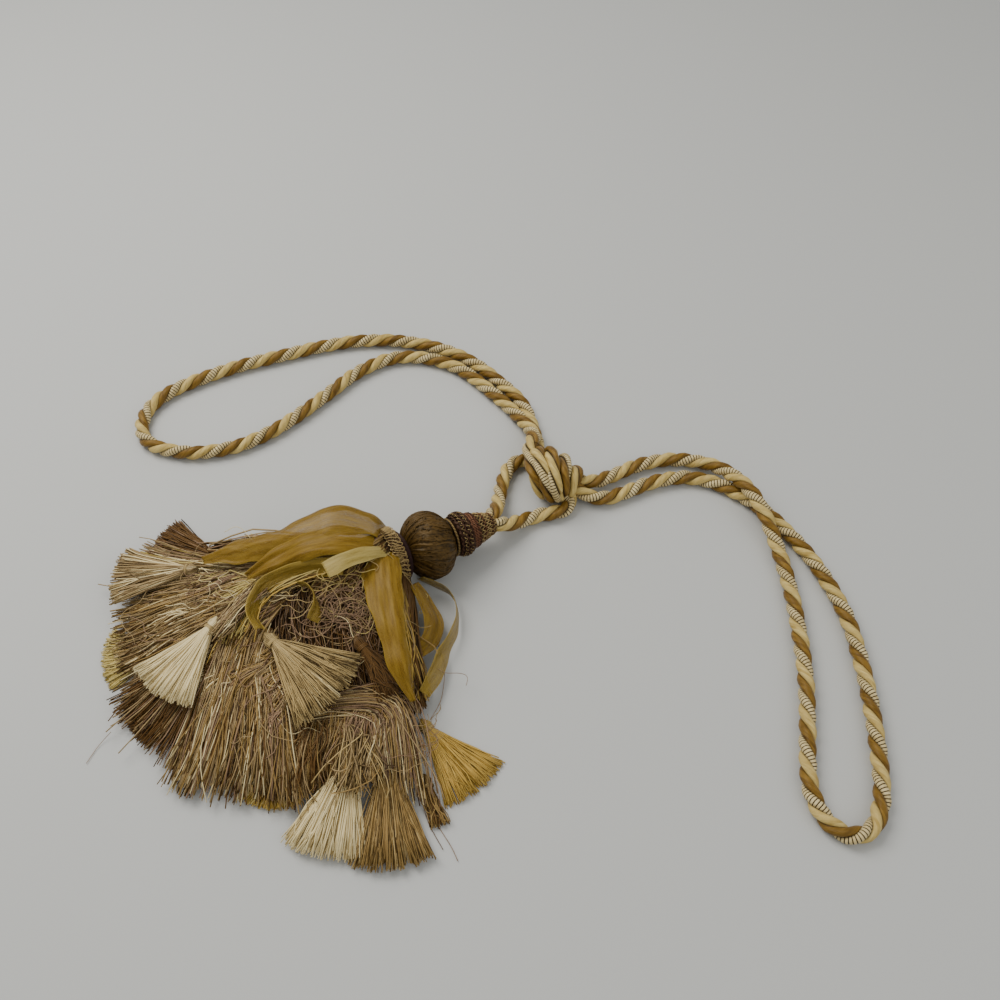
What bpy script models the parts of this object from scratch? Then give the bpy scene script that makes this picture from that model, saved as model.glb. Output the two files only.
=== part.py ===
"""A curtain tieback tassel: a rope that is knotted into two embrace loops, a bound neck, a ball,
a braid collar, and a skirt of yarn, small fan tassels and ribbons, lying on a flat surface.

Sizes are in millimetres and are scaled to metres when a mesh is made. +Z is up, the surface is z = 0,
and the origin is below the middle of the tassel (the rope lies beyond it)."""

from math import cos, pi, radians, sin, sqrt

import bmesh
import bpy
from mathutils import Vector

MM = 0.001

# The rope is 10 mm; its tube is drawn a little thinner, so that touching stretches stay apart
TUBE_DIAMETER = 9.6
TUBE_STEP = 20.5
LEG_STEP = 17.0

# The head: everything is turned about one axis, which runs through the ball's centre
BALL_RADIUS, BALL_HALF_LENGTH = 22.4, 17.0
BALL_CENTRE = Vector((77.2, 82.6, BALL_RADIUS + 0.1))
HEAD_TURN, HEAD_TILT = 209.0, 7.0
COLLAR_RADIUS = 20.0
HEAD_SEGMENTS = 20

# The skirt: where it leaves the collar, its middle direction, and its stacked heights
SKIRT_ROOT = Vector((57.0, 73.0))
SKIRT_MIDDLE = 227.0
YARN_ROOT_RADIUS = 17.0
LAYER_HEIGHT = 6.5
LAYER_GAP = 1.0
RIBBON_THICKNESS = 1.0
RIBBON_STEP, RIBBON_DROOP = 7.0, 0.10

# The pieces are laid out from one corner and then moved by this, so that the origin is below the tassel
TO_ORIGIN = Vector((-3.3, -4.1, 0.0))

# Rope routes: x, y, z of the rope's middle line, from the knot and back to it
LEFT_LOOP = (
    (150.5, 170.0, 19.0),
    (149.0, 181.0, 14.0),
    (146.0, 197.0, 8.0),
    (138.5, 222.0, 5.0),
    (123.0, 243.5, 5.0),
    (101.0, 266.5, 5.0),
    (76.0, 281.5, 5.0),
    (45.0, 290.0, 5.0),
    (14.0, 290.0, 5.0),
    (-15.0, 283.5, 5.0),
    (-45.0, 273.0, 5.0),
    (-73.0, 262.5, 5.0),
    (-100.0, 248.5, 5.0),
    (-120.5, 234.0, 5.0),
    (-131.5, 217.5, 5.0),
    (-132.5, 199.0, 5.0),
    (-125.5, 186.0, 5.0),
    (-110.0, 178.0, 5.0),
    (-87.0, 175.5, 5.0),
    (-62.0, 181.5, 5.0),
    (-41.0, 194.5, 5.0),
    (-22.0, 212.5, 5.0),
    (-3.0, 234.0, 5.0),
    (17.0, 256.5, 5.0),
    (42.0, 271.0, 5.0),
    (69.0, 270.0, 5.0),
    (92.5, 258.5, 5.0),
    (114.0, 236.5, 5.0),
    (129.5, 213.5, 5.0),
    (137.0, 193.0, 5.5),
    (140.0, 180.0, 9.0),
    (141.0, 170.5, 15.0),
)
RIGHT_LOOP = (
    (182.5, 146.5, 8.0),
    (194.0, 151.5, 6.0),
    (217.5, 164.0, 5.0),
    (240.0, 169.0, 5.0),
    (259.5, 166.0, 6.0),
    (275.0, 154.5, 10.0),
    (286.0, 135.0, 15.4),
    (293.5, 117.0, 13.5),
    (299.5, 95.0, 7.5),
    (303.0, 62.0, 5.0),
    (302.5, 25.0, 5.0),
    (300.5, -2.0, 5.0),
    (296.5, -28.0, 5.0),
    (292.0, -52.0, 5.0),
    (290.5, -70.0, 5.0),
    (295.5, -86.0, 5.0),
    (306.5, -94.0, 5.0),
    (319.0, -90.0, 5.0),
    (327.0, -76.0, 5.0),
    (330.5, -60.0, 5.0),
    (333.0, -40.0, 5.0),
    (335.0, -15.0, 5.0),
    (335.5, 12.0, 5.0),
    (334.0, 39.0, 5.0),
    (328.5, 63.0, 5.0),
    (320.5, 85.0, 5.0),
    (310.5, 104.0, 5.0),
    (298.5, 122.0, 5.0),
    (285.0, 136.0, 5.0),
    (271.0, 146.0, 5.0),
    (257.0, 151.5, 5.0),
    (243.0, 152.5, 5.0),
    (224.0, 148.0, 5.0),
    (206.0, 139.5, 5.0),
    (193.0, 134.5, 5.5),
    (182.5, 134.5, 7.0),
)
UPPER_LEG = (
    (117.3, 112.6, 16.0),
    (119.5, 120.0, 12.0),
    (121.0, 131.0, 7.5),
    (123.5, 148.0, 5.0),
    (128.0, 161.0, 5.0),
    (134.0, 167.5, 5.0),
    (138.5, 169.5, 5.0),
)
LOWER_LEG = (
    (122.6, 104.9, 15.0),
    (129.5, 109.5, 10.0),
    (138.0, 115.5, 6.0),
    (148.0, 120.0, 5.0),
    (157.0, 122.0, 5.0),
    (163.5, 124.0, 5.0),
    (166.5, 126.5, 5.0),
)

# The knot's wraps, from the left: x of the wrap's middle, half its width across, half its height
WRAPS = (
    ("first", 143.6, 17.6, 14.4),
    ("second", 154.0, 19.0, 15.0),
    ("third", 164.4, 15.0, 12.6),
    ("fourth", 174.6, 10.5, 9.6),
)
WRAP_HALF_WIDTH = 5.2
GROOVE_SHARE = 0.86
KNOT_Y = 145.0
KNOT_SEGMENTS = 20

# Turned pieces of the head: distance along the axis from the ball's centre (towards the collar), radius
NECK_PROFILE = (
    (-47.5, 0.0),
    (-47.5, 6.4),
    (-43.0, 7.6),
    (-37.8, 9.0),
    (-37.2, 9.9),
    (-33.2, 10.3),
    (-32.6, 11.2),
    (-28.4, 11.8),
    (-27.6, 13.4),
    (-24.0, 14.2),
    (-18.9, 13.8),
    (-17.6, 12.4),
    (-17.3, 9.6),
    (-17.3, 0.0),
)
GOLD_CORD_PLACE, GOLD_CORD_RADIUS, GOLD_CORD_THICKNESS = -15.8, 11.9, 1.8
WAIST_PROFILE = (
    (17.4, 0.0),
    (17.4, 12.6),
    (17.9, 14.6),
    (18.8, 15.4),
    (19.8, 14.6),
    (19.8, 0.0),
)
COLLAR_PROFILE = (
    (20.3, 0.0),
    (20.3, 15.4),
    (21.0, 18.6),
    (23.4, COLLAR_RADIUS),
    (26.4, 19.4),
    (27.6, 17.6),
    (27.6, 0.0),
)

# The yarn mass under the fans: direction from the root, reach there
YARN_REACH = (
    (170.0, 100.0),
    (180.0, 112.0),
    (192.0, 128.0),
    (206.0, 134.0),
    (214.0, 133.0),
    (224.0, 139.0),
    (236.0, 148.0),
    (244.0, 126.0),
    (256.0, 120.0),
    (270.0, 118.0),
    (279.0, 96.0),
    (286.0, 78.0),
)
# Long yarn fans on that mass: name, first and last direction, inner and outer reach, colour
YARN_FANS = (
    ("yarn_fan_back", 187.0, 206.0, 99.0, 169.0, "taupe"),
    ("yarn_fan_left", 207.5, 222.0, 99.0, 170.0, "taupe"),
    ("yarn_fan_middle", 223.5, 238.0, 99.0, 173.0, "bronze"),
    ("yarn_fan_front", 239.5, 253.5, 99.0, 162.0, "bronze"),
    ("yarn_fan_inner", 255.0, 264.5, 99.0, 155.0, "taupe"),
    ("yarn_fan_right", 266.0, 280.0, 97.0, 143.0, "mauve"),
)
# Small fan tassels: name, layer, apex x, y, heading, half spread, length, colour
TASSELS = (
    ("tassel_brown_back", 0, -55.0, 85.0, 157.0, 19.0, 48.0, "brown"),
    ("tassel_gold_left", 0, -73.0, 22.0, 193.0, 29.0, 42.0, "gold"),
    ("tassel_brown_left", 0, -57.0, -8.0, 217.0, 23.0, 38.0, "brown"),
    ("tassel_gold_front", 0, 0.0, -46.0, 264.0, 31.0, 32.0, "gold"),
    ("tassel_cream_front", 0, 40.0, -52.0, 257.0, 19.0, 53.0, "cream"),
    ("tassel_bronze_front", 0, 61.0, -57.0, 277.0, 18.0, 53.0, "bronze"),
    ("tassel_gold_right", 0, 77.0, -27.0, 310.0, 22.0, 51.0, "gold"),
    ("tassel_thin_right", 0, 80.0, -60.0, 290.0, 5.0, 29.0, "bronze"),
    ("tassel_taupe_back", 2, -64.0, 66.0, 181.0, 22.0, 52.0, "taupe"),
    ("tassel_ivory", 2, -42.0, 24.0, 236.0, 25.0, 51.0, "cream"),
    ("tassel_champagne", 2, -11.0, 9.0, 320.0, 26.0, 56.0, "champagne"),
    ("tassel_brown_middle", 2, 40.0, 8.0, 312.0, 16.0, 36.0, "brown"),
)
HEAD_HALF_WIDTH, TIE_HALF_WIDTH, HEAD_LENGTH = 4.2, 3.2, 8.0

# The tangle of fine yarn in the middle: centre x, y, half lengths along x and y, height
TANGLE = (35.0, 29.0, 16.0, 12.0, 6.0)

# Ribbons: name, width, roll about the middle line (0 is level), rows of x, y and z of the middle line
RIBBONS = (
    (
        "ribbon_puff_back",
        17.0,
        14.0,
        ((47, 82, 46), (37, 83, 50), (24, 81, 51), (8, 77, 46), (-12, 73, 39), (-36, 71, 32), (-56, 69, 28)),
    ),
    (
        "ribbon_puff_front",
        13.0,
        0.0,
        ((43, 68, 48), (33, 65, 52), (20, 63, 52), (5, 60, 48), (-10, 57, 43), (-24, 53, 40)),
    ),
    (
        "ribbon_sheer",
        11.0,
        0.0,
        ((51, 60, 52), (42, 55, 52.5), (32, 50, 51.5), (21, 44, 49)),
    ),
    (
        "ribbon_arc",
        11.0,
        -60.0,
        ((27, 48, 42.5), (12, 48, 42.5), (-3, 46, 41), (-15, 41, 39), (-20, 32, 38), (-20, 22, 38), (-15, 14, 40)),
    ),
    (
        "ribbon_curl",
        11.0,
        -80.0,
        ((3, 40, 41.5), (9, 38.5, 42), (14, 33, 42), (16, 25, 40.5), (16, 17, 39)),
    ),
    (
        "ribbon_down",
        14.0,
        0.0,
        ((54, 57, 46), (54, 44, 44), (57, 28, 41), (61, 8, 38), (66, -10, 32), (71, -20, 25)),
    ),
    (
        "ribbon_side",
        12.0,
        -35.0,
        ((71, 52, 21), (77, 44, 16), (81, 34, 12), (80, 24, 10), (76, 15, 11)),
    ),
    (
        "ribbon_loop_right",
        10.0,
        -75.0,
        ((75, 60, 17), (82, 60, 12), (91, 56, 9), (96, 45, 8), (95, 30, 8), (89, 14, 9), (85, -1, 11), (81, -14, 13)),
    ),
)

COLOURS = {
    "rope": (0.55, 0.42, 0.22),
    "ball": (0.12, 0.08, 0.03),
    "neck": (0.16, 0.07, 0.05),
    "gold_cord": (0.45, 0.32, 0.15),
    "waist": (0.06, 0.02, 0.03),
    "collar": (0.48, 0.33, 0.15),
    "yarn": (0.30, 0.20, 0.11),
    "taupe": (0.42, 0.30, 0.18),
    "bronze": (0.34, 0.22, 0.09),
    "mauve": (0.36, 0.24, 0.20),
    "brown": (0.12, 0.05, 0.03),
    "gold": (0.56, 0.39, 0.11),
    "cream": (0.78, 0.66, 0.42),
    "champagne": (0.56, 0.42, 0.20),
    "ribbon": (0.50, 0.30, 0.05),
}


def clear_scene():
    """Removes whatever the scene holds."""
    for found in list(bpy.data.objects):
        bpy.data.objects.remove(found, do_unlink=True)


def dress(obj, colour):
    """Gives the object its own satin fibre material."""
    material = bpy.data.materials.new(obj.name)
    material.use_nodes = True
    shader = material.node_tree.nodes["Principled BSDF"]
    shader.inputs["Base Color"].default_value = (*COLOURS[colour], 1.0)
    shader.inputs["Roughness"].default_value = 0.6
    shader.inputs["Metallic"].default_value = 0.0
    obj.data.materials.append(material)


def add_object(name, data, colour):
    """Links a new object that holds this mesh or curve."""
    obj = bpy.data.objects.new(name, data)
    bpy.context.scene.collection.objects.link(obj)
    obj.location = TO_ORIGIN * MM
    dress(obj, colour)
    return obj


def add_mesh(name, shape, colour, smooth_angle=50.0):
    """Turns a bmesh in millimetres into a named object in metres."""
    bmesh.ops.remove_doubles(shape, verts=shape.verts, dist=0.01)
    bmesh.ops.recalc_face_normals(shape, faces=shape.faces)
    bmesh.ops.scale(shape, vec=(MM, MM, MM), verts=shape.verts)
    mesh = bpy.data.meshes.new(name)
    shape.to_mesh(mesh)
    shape.free()
    mesh.shade_smooth()
    mesh.set_sharp_from_angle(angle=radians(smooth_angle))
    return add_object(name, mesh, colour)


def interpolate(table, at):
    """The value at this place in a table of (place, value) rows."""
    if at <= table[0][0]:
        return table[0][1]
    for (start, low), (end, high) in zip(table, table[1:]):
        if at <= end:
            return low + (high - low) * (at - start) / (end - start)
    return table[-1][1]


def smooth_step(low, high, at):
    """0 below low, 1 above high, and a soft rise between."""
    share = min(max((at - low) / (high - low), 0.0), 1.0)
    return share * share * (3.0 - 2.0 * share)


# ---------------------------------------------------------------- rope


def smooth_points(route, step):
    """Points about one step apart on a smooth curve through the route's own points."""
    points = [Vector(row) for row in route]
    padded = [2 * points[0] - points[1], *points, 2 * points[-1] - points[-2]]
    fine = []
    for before, start, end, after in zip(padded, padded[1:], padded[2:], padded[3:]):
        for i in range(10):
            t = i / 10
            fine.append(
                0.5
                * (
                    2 * start
                    + (end - before) * t
                    + (2 * before - 5 * start + 4 * end - after) * t * t
                    + (3 * start - before - 3 * end + after) * t * t * t
                )
            )
    fine.append(points[-1])
    lengths = [0.0]
    for start, end in zip(fine, fine[1:]):
        lengths.append(lengths[-1] + (end - start).length)
    count = max(2, round(lengths[-1] / step))
    chosen, at = [], 0
    for i in range(count + 1):
        wanted = lengths[-1] * i / count
        while at < len(fine) - 2 and lengths[at + 1] < wanted:
            at += 1
        share = (wanted - lengths[at]) / (lengths[at + 1] - lengths[at])
        chosen.append(fine[at].lerp(fine[at + 1], min(share, 1.0)))
    return chosen


def rope_tube(name, route, step):
    """A rope as a plain round tube along its route."""
    curve = bpy.data.curves.new(name, "CURVE")
    curve.dimensions = "3D"
    curve.bevel_depth = TUBE_DIAMETER / 2 * MM
    curve.bevel_resolution = 2
    curve.use_fill_caps = True
    points = smooth_points(route, step)
    spline = curve.splines.new("POLY")
    spline.points.add(len(points) - 1)
    for place, point in zip(spline.points, points):
        place.co = (*(point * MM), 1.0)
    return add_object(name, curve, "rope")


def knot_section(x):
    """Half width and half height of the knot at x: the fullest wrap there, drawn in at the grooves."""
    best = (0.0, 0.0)
    for _, middle, half_width, half_height in WRAPS:
        off = abs(x - middle) / WRAP_HALF_WIDTH
        if off <= 1.001:
            swell = GROOVE_SHARE + (1 - GROOVE_SHARE) * sqrt(max(0.0, 1 - off * off))
            if half_width * swell > best[0]:
                best = (half_width * swell, half_height * swell)
    return best


def knot():
    """The knot: four wraps side by side as one solid, each flat where it lies on the surface."""
    shape = bmesh.new()
    rings = []
    start = WRAPS[0][1] - WRAP_HALF_WIDTH
    end = WRAPS[-1][1] + WRAP_HALF_WIDTH
    places = [start]
    for _, middle, _, _ in WRAPS:
        places += [middle - WRAP_HALF_WIDTH * 0.6, middle, middle + WRAP_HALF_WIDTH * 0.6]
        places.append(middle + WRAP_HALF_WIDTH)
    places[-1] = end
    for x in places:
        half_width, half_height = knot_section(x)
        ring = []
        for i in range(KNOT_SEGMENTS):
            turn = 2 * pi * i / KNOT_SEGMENTS
            z = max(0.0, half_height * (1 + sin(turn)) - 0.4)
            ring.append(shape.verts.new((x, KNOT_Y + half_width * cos(turn), z)))
        rings.append(ring)
    for first, second in zip(rings, rings[1:]):
        for i in range(KNOT_SEGMENTS):
            j = (i + 1) % KNOT_SEGMENTS
            shape.faces.new((first[i], first[j], second[j], second[i]))
    shape.faces.new(rings[0])
    shape.faces.new(reversed(rings[-1]))
    return add_mesh("rope_knot", shape, "rope")


# ---------------------------------------------------------------- head


def head_axis():
    """Unit vector from the ball towards the collar."""
    turn, tilt = radians(HEAD_TURN), radians(HEAD_TILT)
    return Vector((cos(turn) * cos(tilt), sin(turn) * cos(tilt), sin(tilt)))


def turned(name, profile, colour, segments=HEAD_SEGMENTS):
    """Spins a profile of (distance along the head's axis, radius) about that axis."""
    shape = bmesh.new()
    along = head_axis()
    across = along.cross(Vector((0, 0, 1))).normalized()
    line = [shape.verts.new(BALL_CENTRE + along * place + across * radius) for place, radius in profile]
    edges = [shape.edges.new(pair) for pair in zip(line, line[1:])]
    bmesh.ops.spin(
        shape,
        geom=line + edges,
        axis=along,
        cent=BALL_CENTRE,
        angle=2 * pi,
        steps=segments,
        use_merge=True,
    )
    return add_mesh(name, shape, colour)


def ball():
    """The ball under its satin threads: a little wider than it is long."""
    count = 12
    profile = []
    for i in range(count + 1):
        turn = pi * i / count
        radius = 0.0 if i in (0, count) else BALL_RADIUS * sin(turn)
        profile.append((-BALL_HALF_LENGTH * cos(turn), radius))
    return turned("ball", profile, "ball", 28)


def gold_cord():
    """The thin cord between neck and ball."""
    sides = 8
    shape = bmesh.new()
    along = head_axis()
    across = along.cross(Vector((0, 0, 1))).normalized()
    centre = BALL_CENTRE + along * GOLD_CORD_PLACE + across * GOLD_CORD_RADIUS
    half = GOLD_CORD_THICKNESS / 2
    ring = []
    for i in range(sides):
        turn = 2 * pi * i / sides
        ring.append(shape.verts.new(centre + along * (half * cos(turn)) + across * (half * sin(turn))))
    edges = [shape.edges.new((ring[i], ring[(i + 1) % sides])) for i in range(sides)]
    bmesh.ops.spin(
        shape,
        geom=ring + edges,
        axis=along,
        cent=BALL_CENTRE,
        angle=2 * pi,
        steps=24,
        use_merge=True,
    )
    return add_mesh("gold_cord", shape, "gold_cord")


# ---------------------------------------------------------------- skirt heights

# Height of the yarn mass along its crest: distance from the root, height
CREST = ((0.0, 34.0), (30.0, 32.0), (60.0, 28.0), (95.0, 20.0), (130.0, 12.5), (160.0, 7.5), (185.0, 5.6))
RIM_HEIGHT = 5.8
SKIRT_WIDENING = 1.12


def lower_top(x, y):
    """Top of the lowest layer: the yarn mass and the tassels that lie on the surface."""
    off = Vector((x, y)) - SKIRT_ROOT
    turn = radians(SKIRT_MIDDLE)
    along = off.x * cos(turn) + off.y * sin(turn)
    across = abs(-off.x * sin(turn) + off.y * cos(turn))
    half = COLLAR_RADIUS + SKIRT_WIDENING * max(along, 0.0)
    share = 1 - min(across / half, 1.0) ** 2.4
    return RIM_HEIGHT + max(interpolate(CREST, off.length) - RIM_HEIGHT, 0.0) * share


def layer_bottom(layer, x, y):
    """Where a piece of this layer starts: the surface itself, or a gap above the layer under it."""
    if layer == 0:
        return 0.0
    return lower_top(x, y) + (layer - 1) * LAYER_HEIGHT + LAYER_GAP


def layer_top(layer, x, y):
    """How high a piece of this layer may reach."""
    return lower_top(x, y) + layer * LAYER_HEIGHT


def lattice_solid(name, top, bottom, colour):
    """One closed solid between two lattices of points with the same rows and columns."""
    shape = bmesh.new()
    upper = [[shape.verts.new(point) for point in row] for row in top]
    lower = [[shape.verts.new(point) for point in row] for row in bottom]
    rows, columns = len(upper), len(upper[0])
    for i in range(rows - 1):
        for j in range(columns - 1):
            shape.faces.new((upper[i][j], upper[i][j + 1], upper[i + 1][j + 1], upper[i + 1][j]))
            shape.faces.new((lower[i][j], lower[i + 1][j], lower[i + 1][j + 1], lower[i][j + 1]))
    rim = [(0, j) for j in range(columns)]
    rim += [(i, columns - 1) for i in range(1, rows)]
    rim += [(rows - 1, j) for j in range(columns - 2, -1, -1)]
    rim += [(i, 0) for i in range(rows - 2, 0, -1)]
    for (i, j), (k, m) in zip(rim, rim[1:] + rim[:1]):
        shape.faces.new((upper[i][j], upper[k][m], lower[k][m], lower[i][j]))
    return add_mesh(name, shape, colour, 60.0)


def polar(direction, reach):
    """The point this far from the skirt's root in this direction."""
    turn = radians(direction)
    return SKIRT_ROOT.x + reach * cos(turn), SKIRT_ROOT.y + reach * sin(turn)


# ---------------------------------------------------------------- skirt pieces


def yarn_mass():
    """The mass of hanging yarn: round where it leaves the collar, then flat below and domed above."""
    rows, columns = 15, 17
    first, last = YARN_REACH[0][0], YARN_REACH[-1][0]
    along = head_axis()
    side = Vector((0, 0, 1)).cross(along).normalized()
    raised = along.cross(side)
    start = BALL_CENTRE + along * (COLLAR_PROFILE[-1][0] + 0.6)
    top, bottom = [], []
    for i in range(rows):
        out = i / (rows - 1)
        spread = smooth_step(0.0, 0.22, out)
        top_row, bottom_row = [], []
        for j in range(columns):
            across = 2 * j / (columns - 1) - 1
            turn = min(abs(across), 0.97) * pi / 2
            beside = start + side * (YARN_ROOT_RADIUS * (sin(turn) if across > 0 else -sin(turn)))
            crown = beside + raised * (YARN_ROOT_RADIUS * cos(turn))
            foot = beside - raised * (YARN_ROOT_RADIUS * cos(turn))
            direction = first + (last - first) * j / (columns - 1)
            end = Vector(polar(direction, interpolate(YARN_REACH, direction)))
            over, under = crown.xy.lerp(end, out), foot.xy.lerp(end, out)
            reach = (over - SKIRT_ROOT).length
            step_up = LAYER_HEIGHT * (1 - smooth_step(82.0, 94.0, reach))
            edge = 0.55 + 0.45 * smooth_step(0.0, 0.30, 1 - abs(across))
            dome = (lower_top(*over) + step_up - 0.5) * edge
            top_row.append((*over, crown.z + (dome - crown.z) * spread))
            bottom_row.append((*under, foot.z * (1 - spread)))
        top.append(top_row)
        bottom.append(bottom_row)
    return lattice_solid("skirt_yarn", top, bottom, "yarn")


def yarn_fan(name, first, last, inner, outer, colour):
    """Long yarn ends that lie fanned out over the mass."""
    rows, columns = 8, 5
    top, bottom = [], []
    for i in range(rows):
        along = i / (rows - 1)
        top_row, bottom_row = [], []
        for j in range(columns):
            across = j / (columns - 1)
            uneven = 3.0 * sin(across * 5.0 + first)
            reach = inner + (outer + uneven - inner) * along
            x, y = polar(first + (last - first) * across, reach)
            low = layer_bottom(1, x, y)
            room = layer_top(1, x, y) - low
            swell = 0.62 + 0.38 * sin(pi * across)
            thin = 1.0 - 0.35 * along
            top_row.append((x, y, low + room * swell * thin))
            bottom_row.append((x, y, low))
        top.append(top_row)
        bottom.append(bottom_row)
    return lattice_solid(name, top, bottom, colour)


def tassel(name, layer, apex_x, apex_y, heading, spread, length, colour):
    """A small tassel: a bound head, a tie, and threads that fan out to a curved end."""
    rows, columns = 8, 7
    turn = radians(heading)
    forward, side = Vector((cos(turn), sin(turn))), Vector((-sin(turn), cos(turn)))
    apex = Vector((apex_x, apex_y))
    places = (0.0, 0.35, 0.75, 1.0)
    distances = [HEAD_LENGTH * share for share in places]
    rest = rows - len(places)
    distances += [HEAD_LENGTH + (length - HEAD_LENGTH) * (k + 1) / rest for k in range(rest)]
    head = ((0.0, 2.0), (0.35 * HEAD_LENGTH, HEAD_HALF_WIDTH), (HEAD_LENGTH, TIE_HALF_WIDTH))
    top, bottom = [], []
    for distance in distances:
        if distance <= HEAD_LENGTH:
            half = interpolate(head, distance)
        else:
            half = TIE_HALF_WIDTH + (distance - HEAD_LENGTH) * sin(radians(spread)) * 1.04
        opened = max(0.0, distance - HEAD_LENGTH) / (length - HEAD_LENGTH)
        top_row, bottom_row = [], []
        for j in range(columns):
            across = 2 * j / (columns - 1) - 1
            bow = 1 - (1 - cos(radians(spread) * across)) * opened
            place = apex + forward * (distance * bow) + side * (half * across)
            low = layer_bottom(layer, *place)
            room = min(layer_top(layer, *place) - low, LAYER_HEIGHT - LAYER_GAP)
            swell = 0.30 + 0.70 * sqrt(max(0.0, 1 - across * across))
            thin = 1.0 - 0.30 * opened
            top_row.append((place.x, place.y, low + room * swell * thin))
            bottom_row.append((place.x, place.y, low))
        top.append(top_row)
        bottom.append(bottom_row)
    return lattice_solid(name, top, bottom, colour)


def tangle():
    """The low heap of fine curled yarn in the middle of the skirt."""
    centre_x, centre_y, half_x, half_y, height = TANGLE
    rings, columns = 5, 20
    shape = bmesh.new()
    lower_rings, upper_rings = [], []
    for i in range(1, rings + 1):
        share = i / rings
        lower_ring, upper_ring = [], []
        for j in range(columns):
            turn = 2 * pi * j / columns
            x = centre_x + half_x * share * cos(turn)
            y = centre_y + half_y * share * sin(turn)
            low = layer_bottom(2, x, y)
            lower_ring.append(shape.verts.new((x, y, low)))
            upper_ring.append(shape.verts.new((x, y, low + 0.8 + height * (1 - share**2))))
        lower_rings.append(lower_ring)
        upper_rings.append(upper_ring)
    low = layer_bottom(2, centre_x, centre_y)
    crown = shape.verts.new((centre_x, centre_y, low + 0.8 + height))
    foot = shape.verts.new((centre_x, centre_y, low))
    for j in range(columns):
        k = (j + 1) % columns
        shape.faces.new((crown, upper_rings[0][j], upper_rings[0][k]))
        shape.faces.new((foot, lower_rings[0][k], lower_rings[0][j]))
        for i in range(rings - 1):
            inner, outer = upper_rings[i], upper_rings[i + 1]
            shape.faces.new((inner[j], outer[j], outer[k], inner[k]))
            inner, outer = lower_rings[i], lower_rings[i + 1]
            shape.faces.new((inner[j], inner[k], outer[k], outer[j]))
        upper, lower = upper_rings[-1], lower_rings[-1]
        shape.faces.new((upper[j], lower[j], lower[k], upper[k]))
    return add_mesh("yarn_tangle", shape, "mauve")


def ribbon(name, width, roll, route):
    """A strip of thin cloth along its middle line, level or leaning across it, with its edges drooping."""
    points = smooth_points(route, RIBBON_STEP)
    columns = 4
    lean = radians(roll)
    up = Vector((0, 0, 1))
    top, bottom = [], []
    for i, point in enumerate(points):
        before, after = points[max(i - 1, 0)], points[min(i + 1, len(points) - 1)]
        heading = (after - before).normalized()
        level = up.cross(heading).normalized()
        side = level * cos(lean) + heading.cross(level).normalized() * sin(lean)
        normal = heading.cross(side).normalized()
        top_row, bottom_row = [], []
        for j in range(columns):
            across = 2 * j / (columns - 1) - 1
            droop = normal * (-RIBBON_DROOP * width * across * across)
            place = point + side * (width / 2 * across) + droop
            top_row.append(place + normal * RIBBON_THICKNESS)
            bottom_row.append(place)
        top.append(top_row)
        bottom.append(bottom_row)
    return lattice_solid(name, top, bottom, "ribbon")


def build():
    """Makes every piece."""
    clear_scene()
    rope_tube("rope_left_loop", LEFT_LOOP, TUBE_STEP)
    rope_tube("rope_right_loop", RIGHT_LOOP, TUBE_STEP)
    rope_tube("rope_leg_upper", UPPER_LEG, LEG_STEP)
    rope_tube("rope_leg_lower", LOWER_LEG, LEG_STEP)
    knot()
    turned("neck_binding", NECK_PROFILE, "neck")
    gold_cord()
    ball()
    turned("waist_band", WAIST_PROFILE, "waist")
    turned("collar_braid", COLLAR_PROFILE, "collar", 28)
    yarn_mass()
    for row in YARN_FANS:
        yarn_fan(*row)
    for row in TASSELS:
        tassel(*row)
    tangle()
    for row in RIBBONS:
        ribbon(*row)


build()
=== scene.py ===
"""The looks of a curtain tieback tassel: plied rope, bound neck, thread-covered ball, gimp braid, yarn
skirt, small fan tassels and organza ribbons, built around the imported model.

Pieces are laid out in the part's own millimetres and turned into metres in the row frame by metres()."""

import logging
from collections.abc import Sequence
from dataclasses import dataclass, field
from enum import Enum
from math import cos, pi, radians, sin

import bpy
import numpy as np
from mathutils import Matrix, Vector


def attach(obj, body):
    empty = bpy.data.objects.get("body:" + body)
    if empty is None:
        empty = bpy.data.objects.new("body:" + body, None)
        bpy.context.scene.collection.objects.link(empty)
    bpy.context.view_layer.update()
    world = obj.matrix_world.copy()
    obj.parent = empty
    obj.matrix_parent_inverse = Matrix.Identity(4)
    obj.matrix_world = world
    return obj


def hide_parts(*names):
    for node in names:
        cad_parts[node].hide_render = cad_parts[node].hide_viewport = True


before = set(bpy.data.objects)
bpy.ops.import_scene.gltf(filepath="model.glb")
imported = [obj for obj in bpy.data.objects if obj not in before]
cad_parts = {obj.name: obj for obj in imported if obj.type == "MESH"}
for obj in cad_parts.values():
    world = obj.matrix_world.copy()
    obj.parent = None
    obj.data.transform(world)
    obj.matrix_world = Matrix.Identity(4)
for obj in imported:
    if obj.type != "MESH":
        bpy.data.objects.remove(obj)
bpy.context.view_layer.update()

Array = np.ndarray
Colour = tuple[float, float, float]
Point = tuple[float, float, float]
Line = tuple[float, float, float, float]
Profile = tuple[tuple[float, float], ...]

log = logging.getLogger("tieback")

MM = 0.001
TO_ORIGIN = np.array((-3.3, -4.1, 0.0))
BODY = "root"
UP = np.array((0.0, 0.0, 1.0))


def metres(points: Array) -> Array:
    """Turns layout millimetres into metres in the row frame.

    Args:
        points: points in layout millimetres, in the last axis.

    Returns:
        The same points in metres.
    """
    return (np.asarray(points, float) + TO_ORIGIN) * MM


def unit(vectors: Array) -> Array:
    """Scales vectors in the last axis to length 1."""
    return vectors / np.maximum(np.linalg.norm(vectors, axis=-1, keepdims=True), 1e-12)


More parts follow.
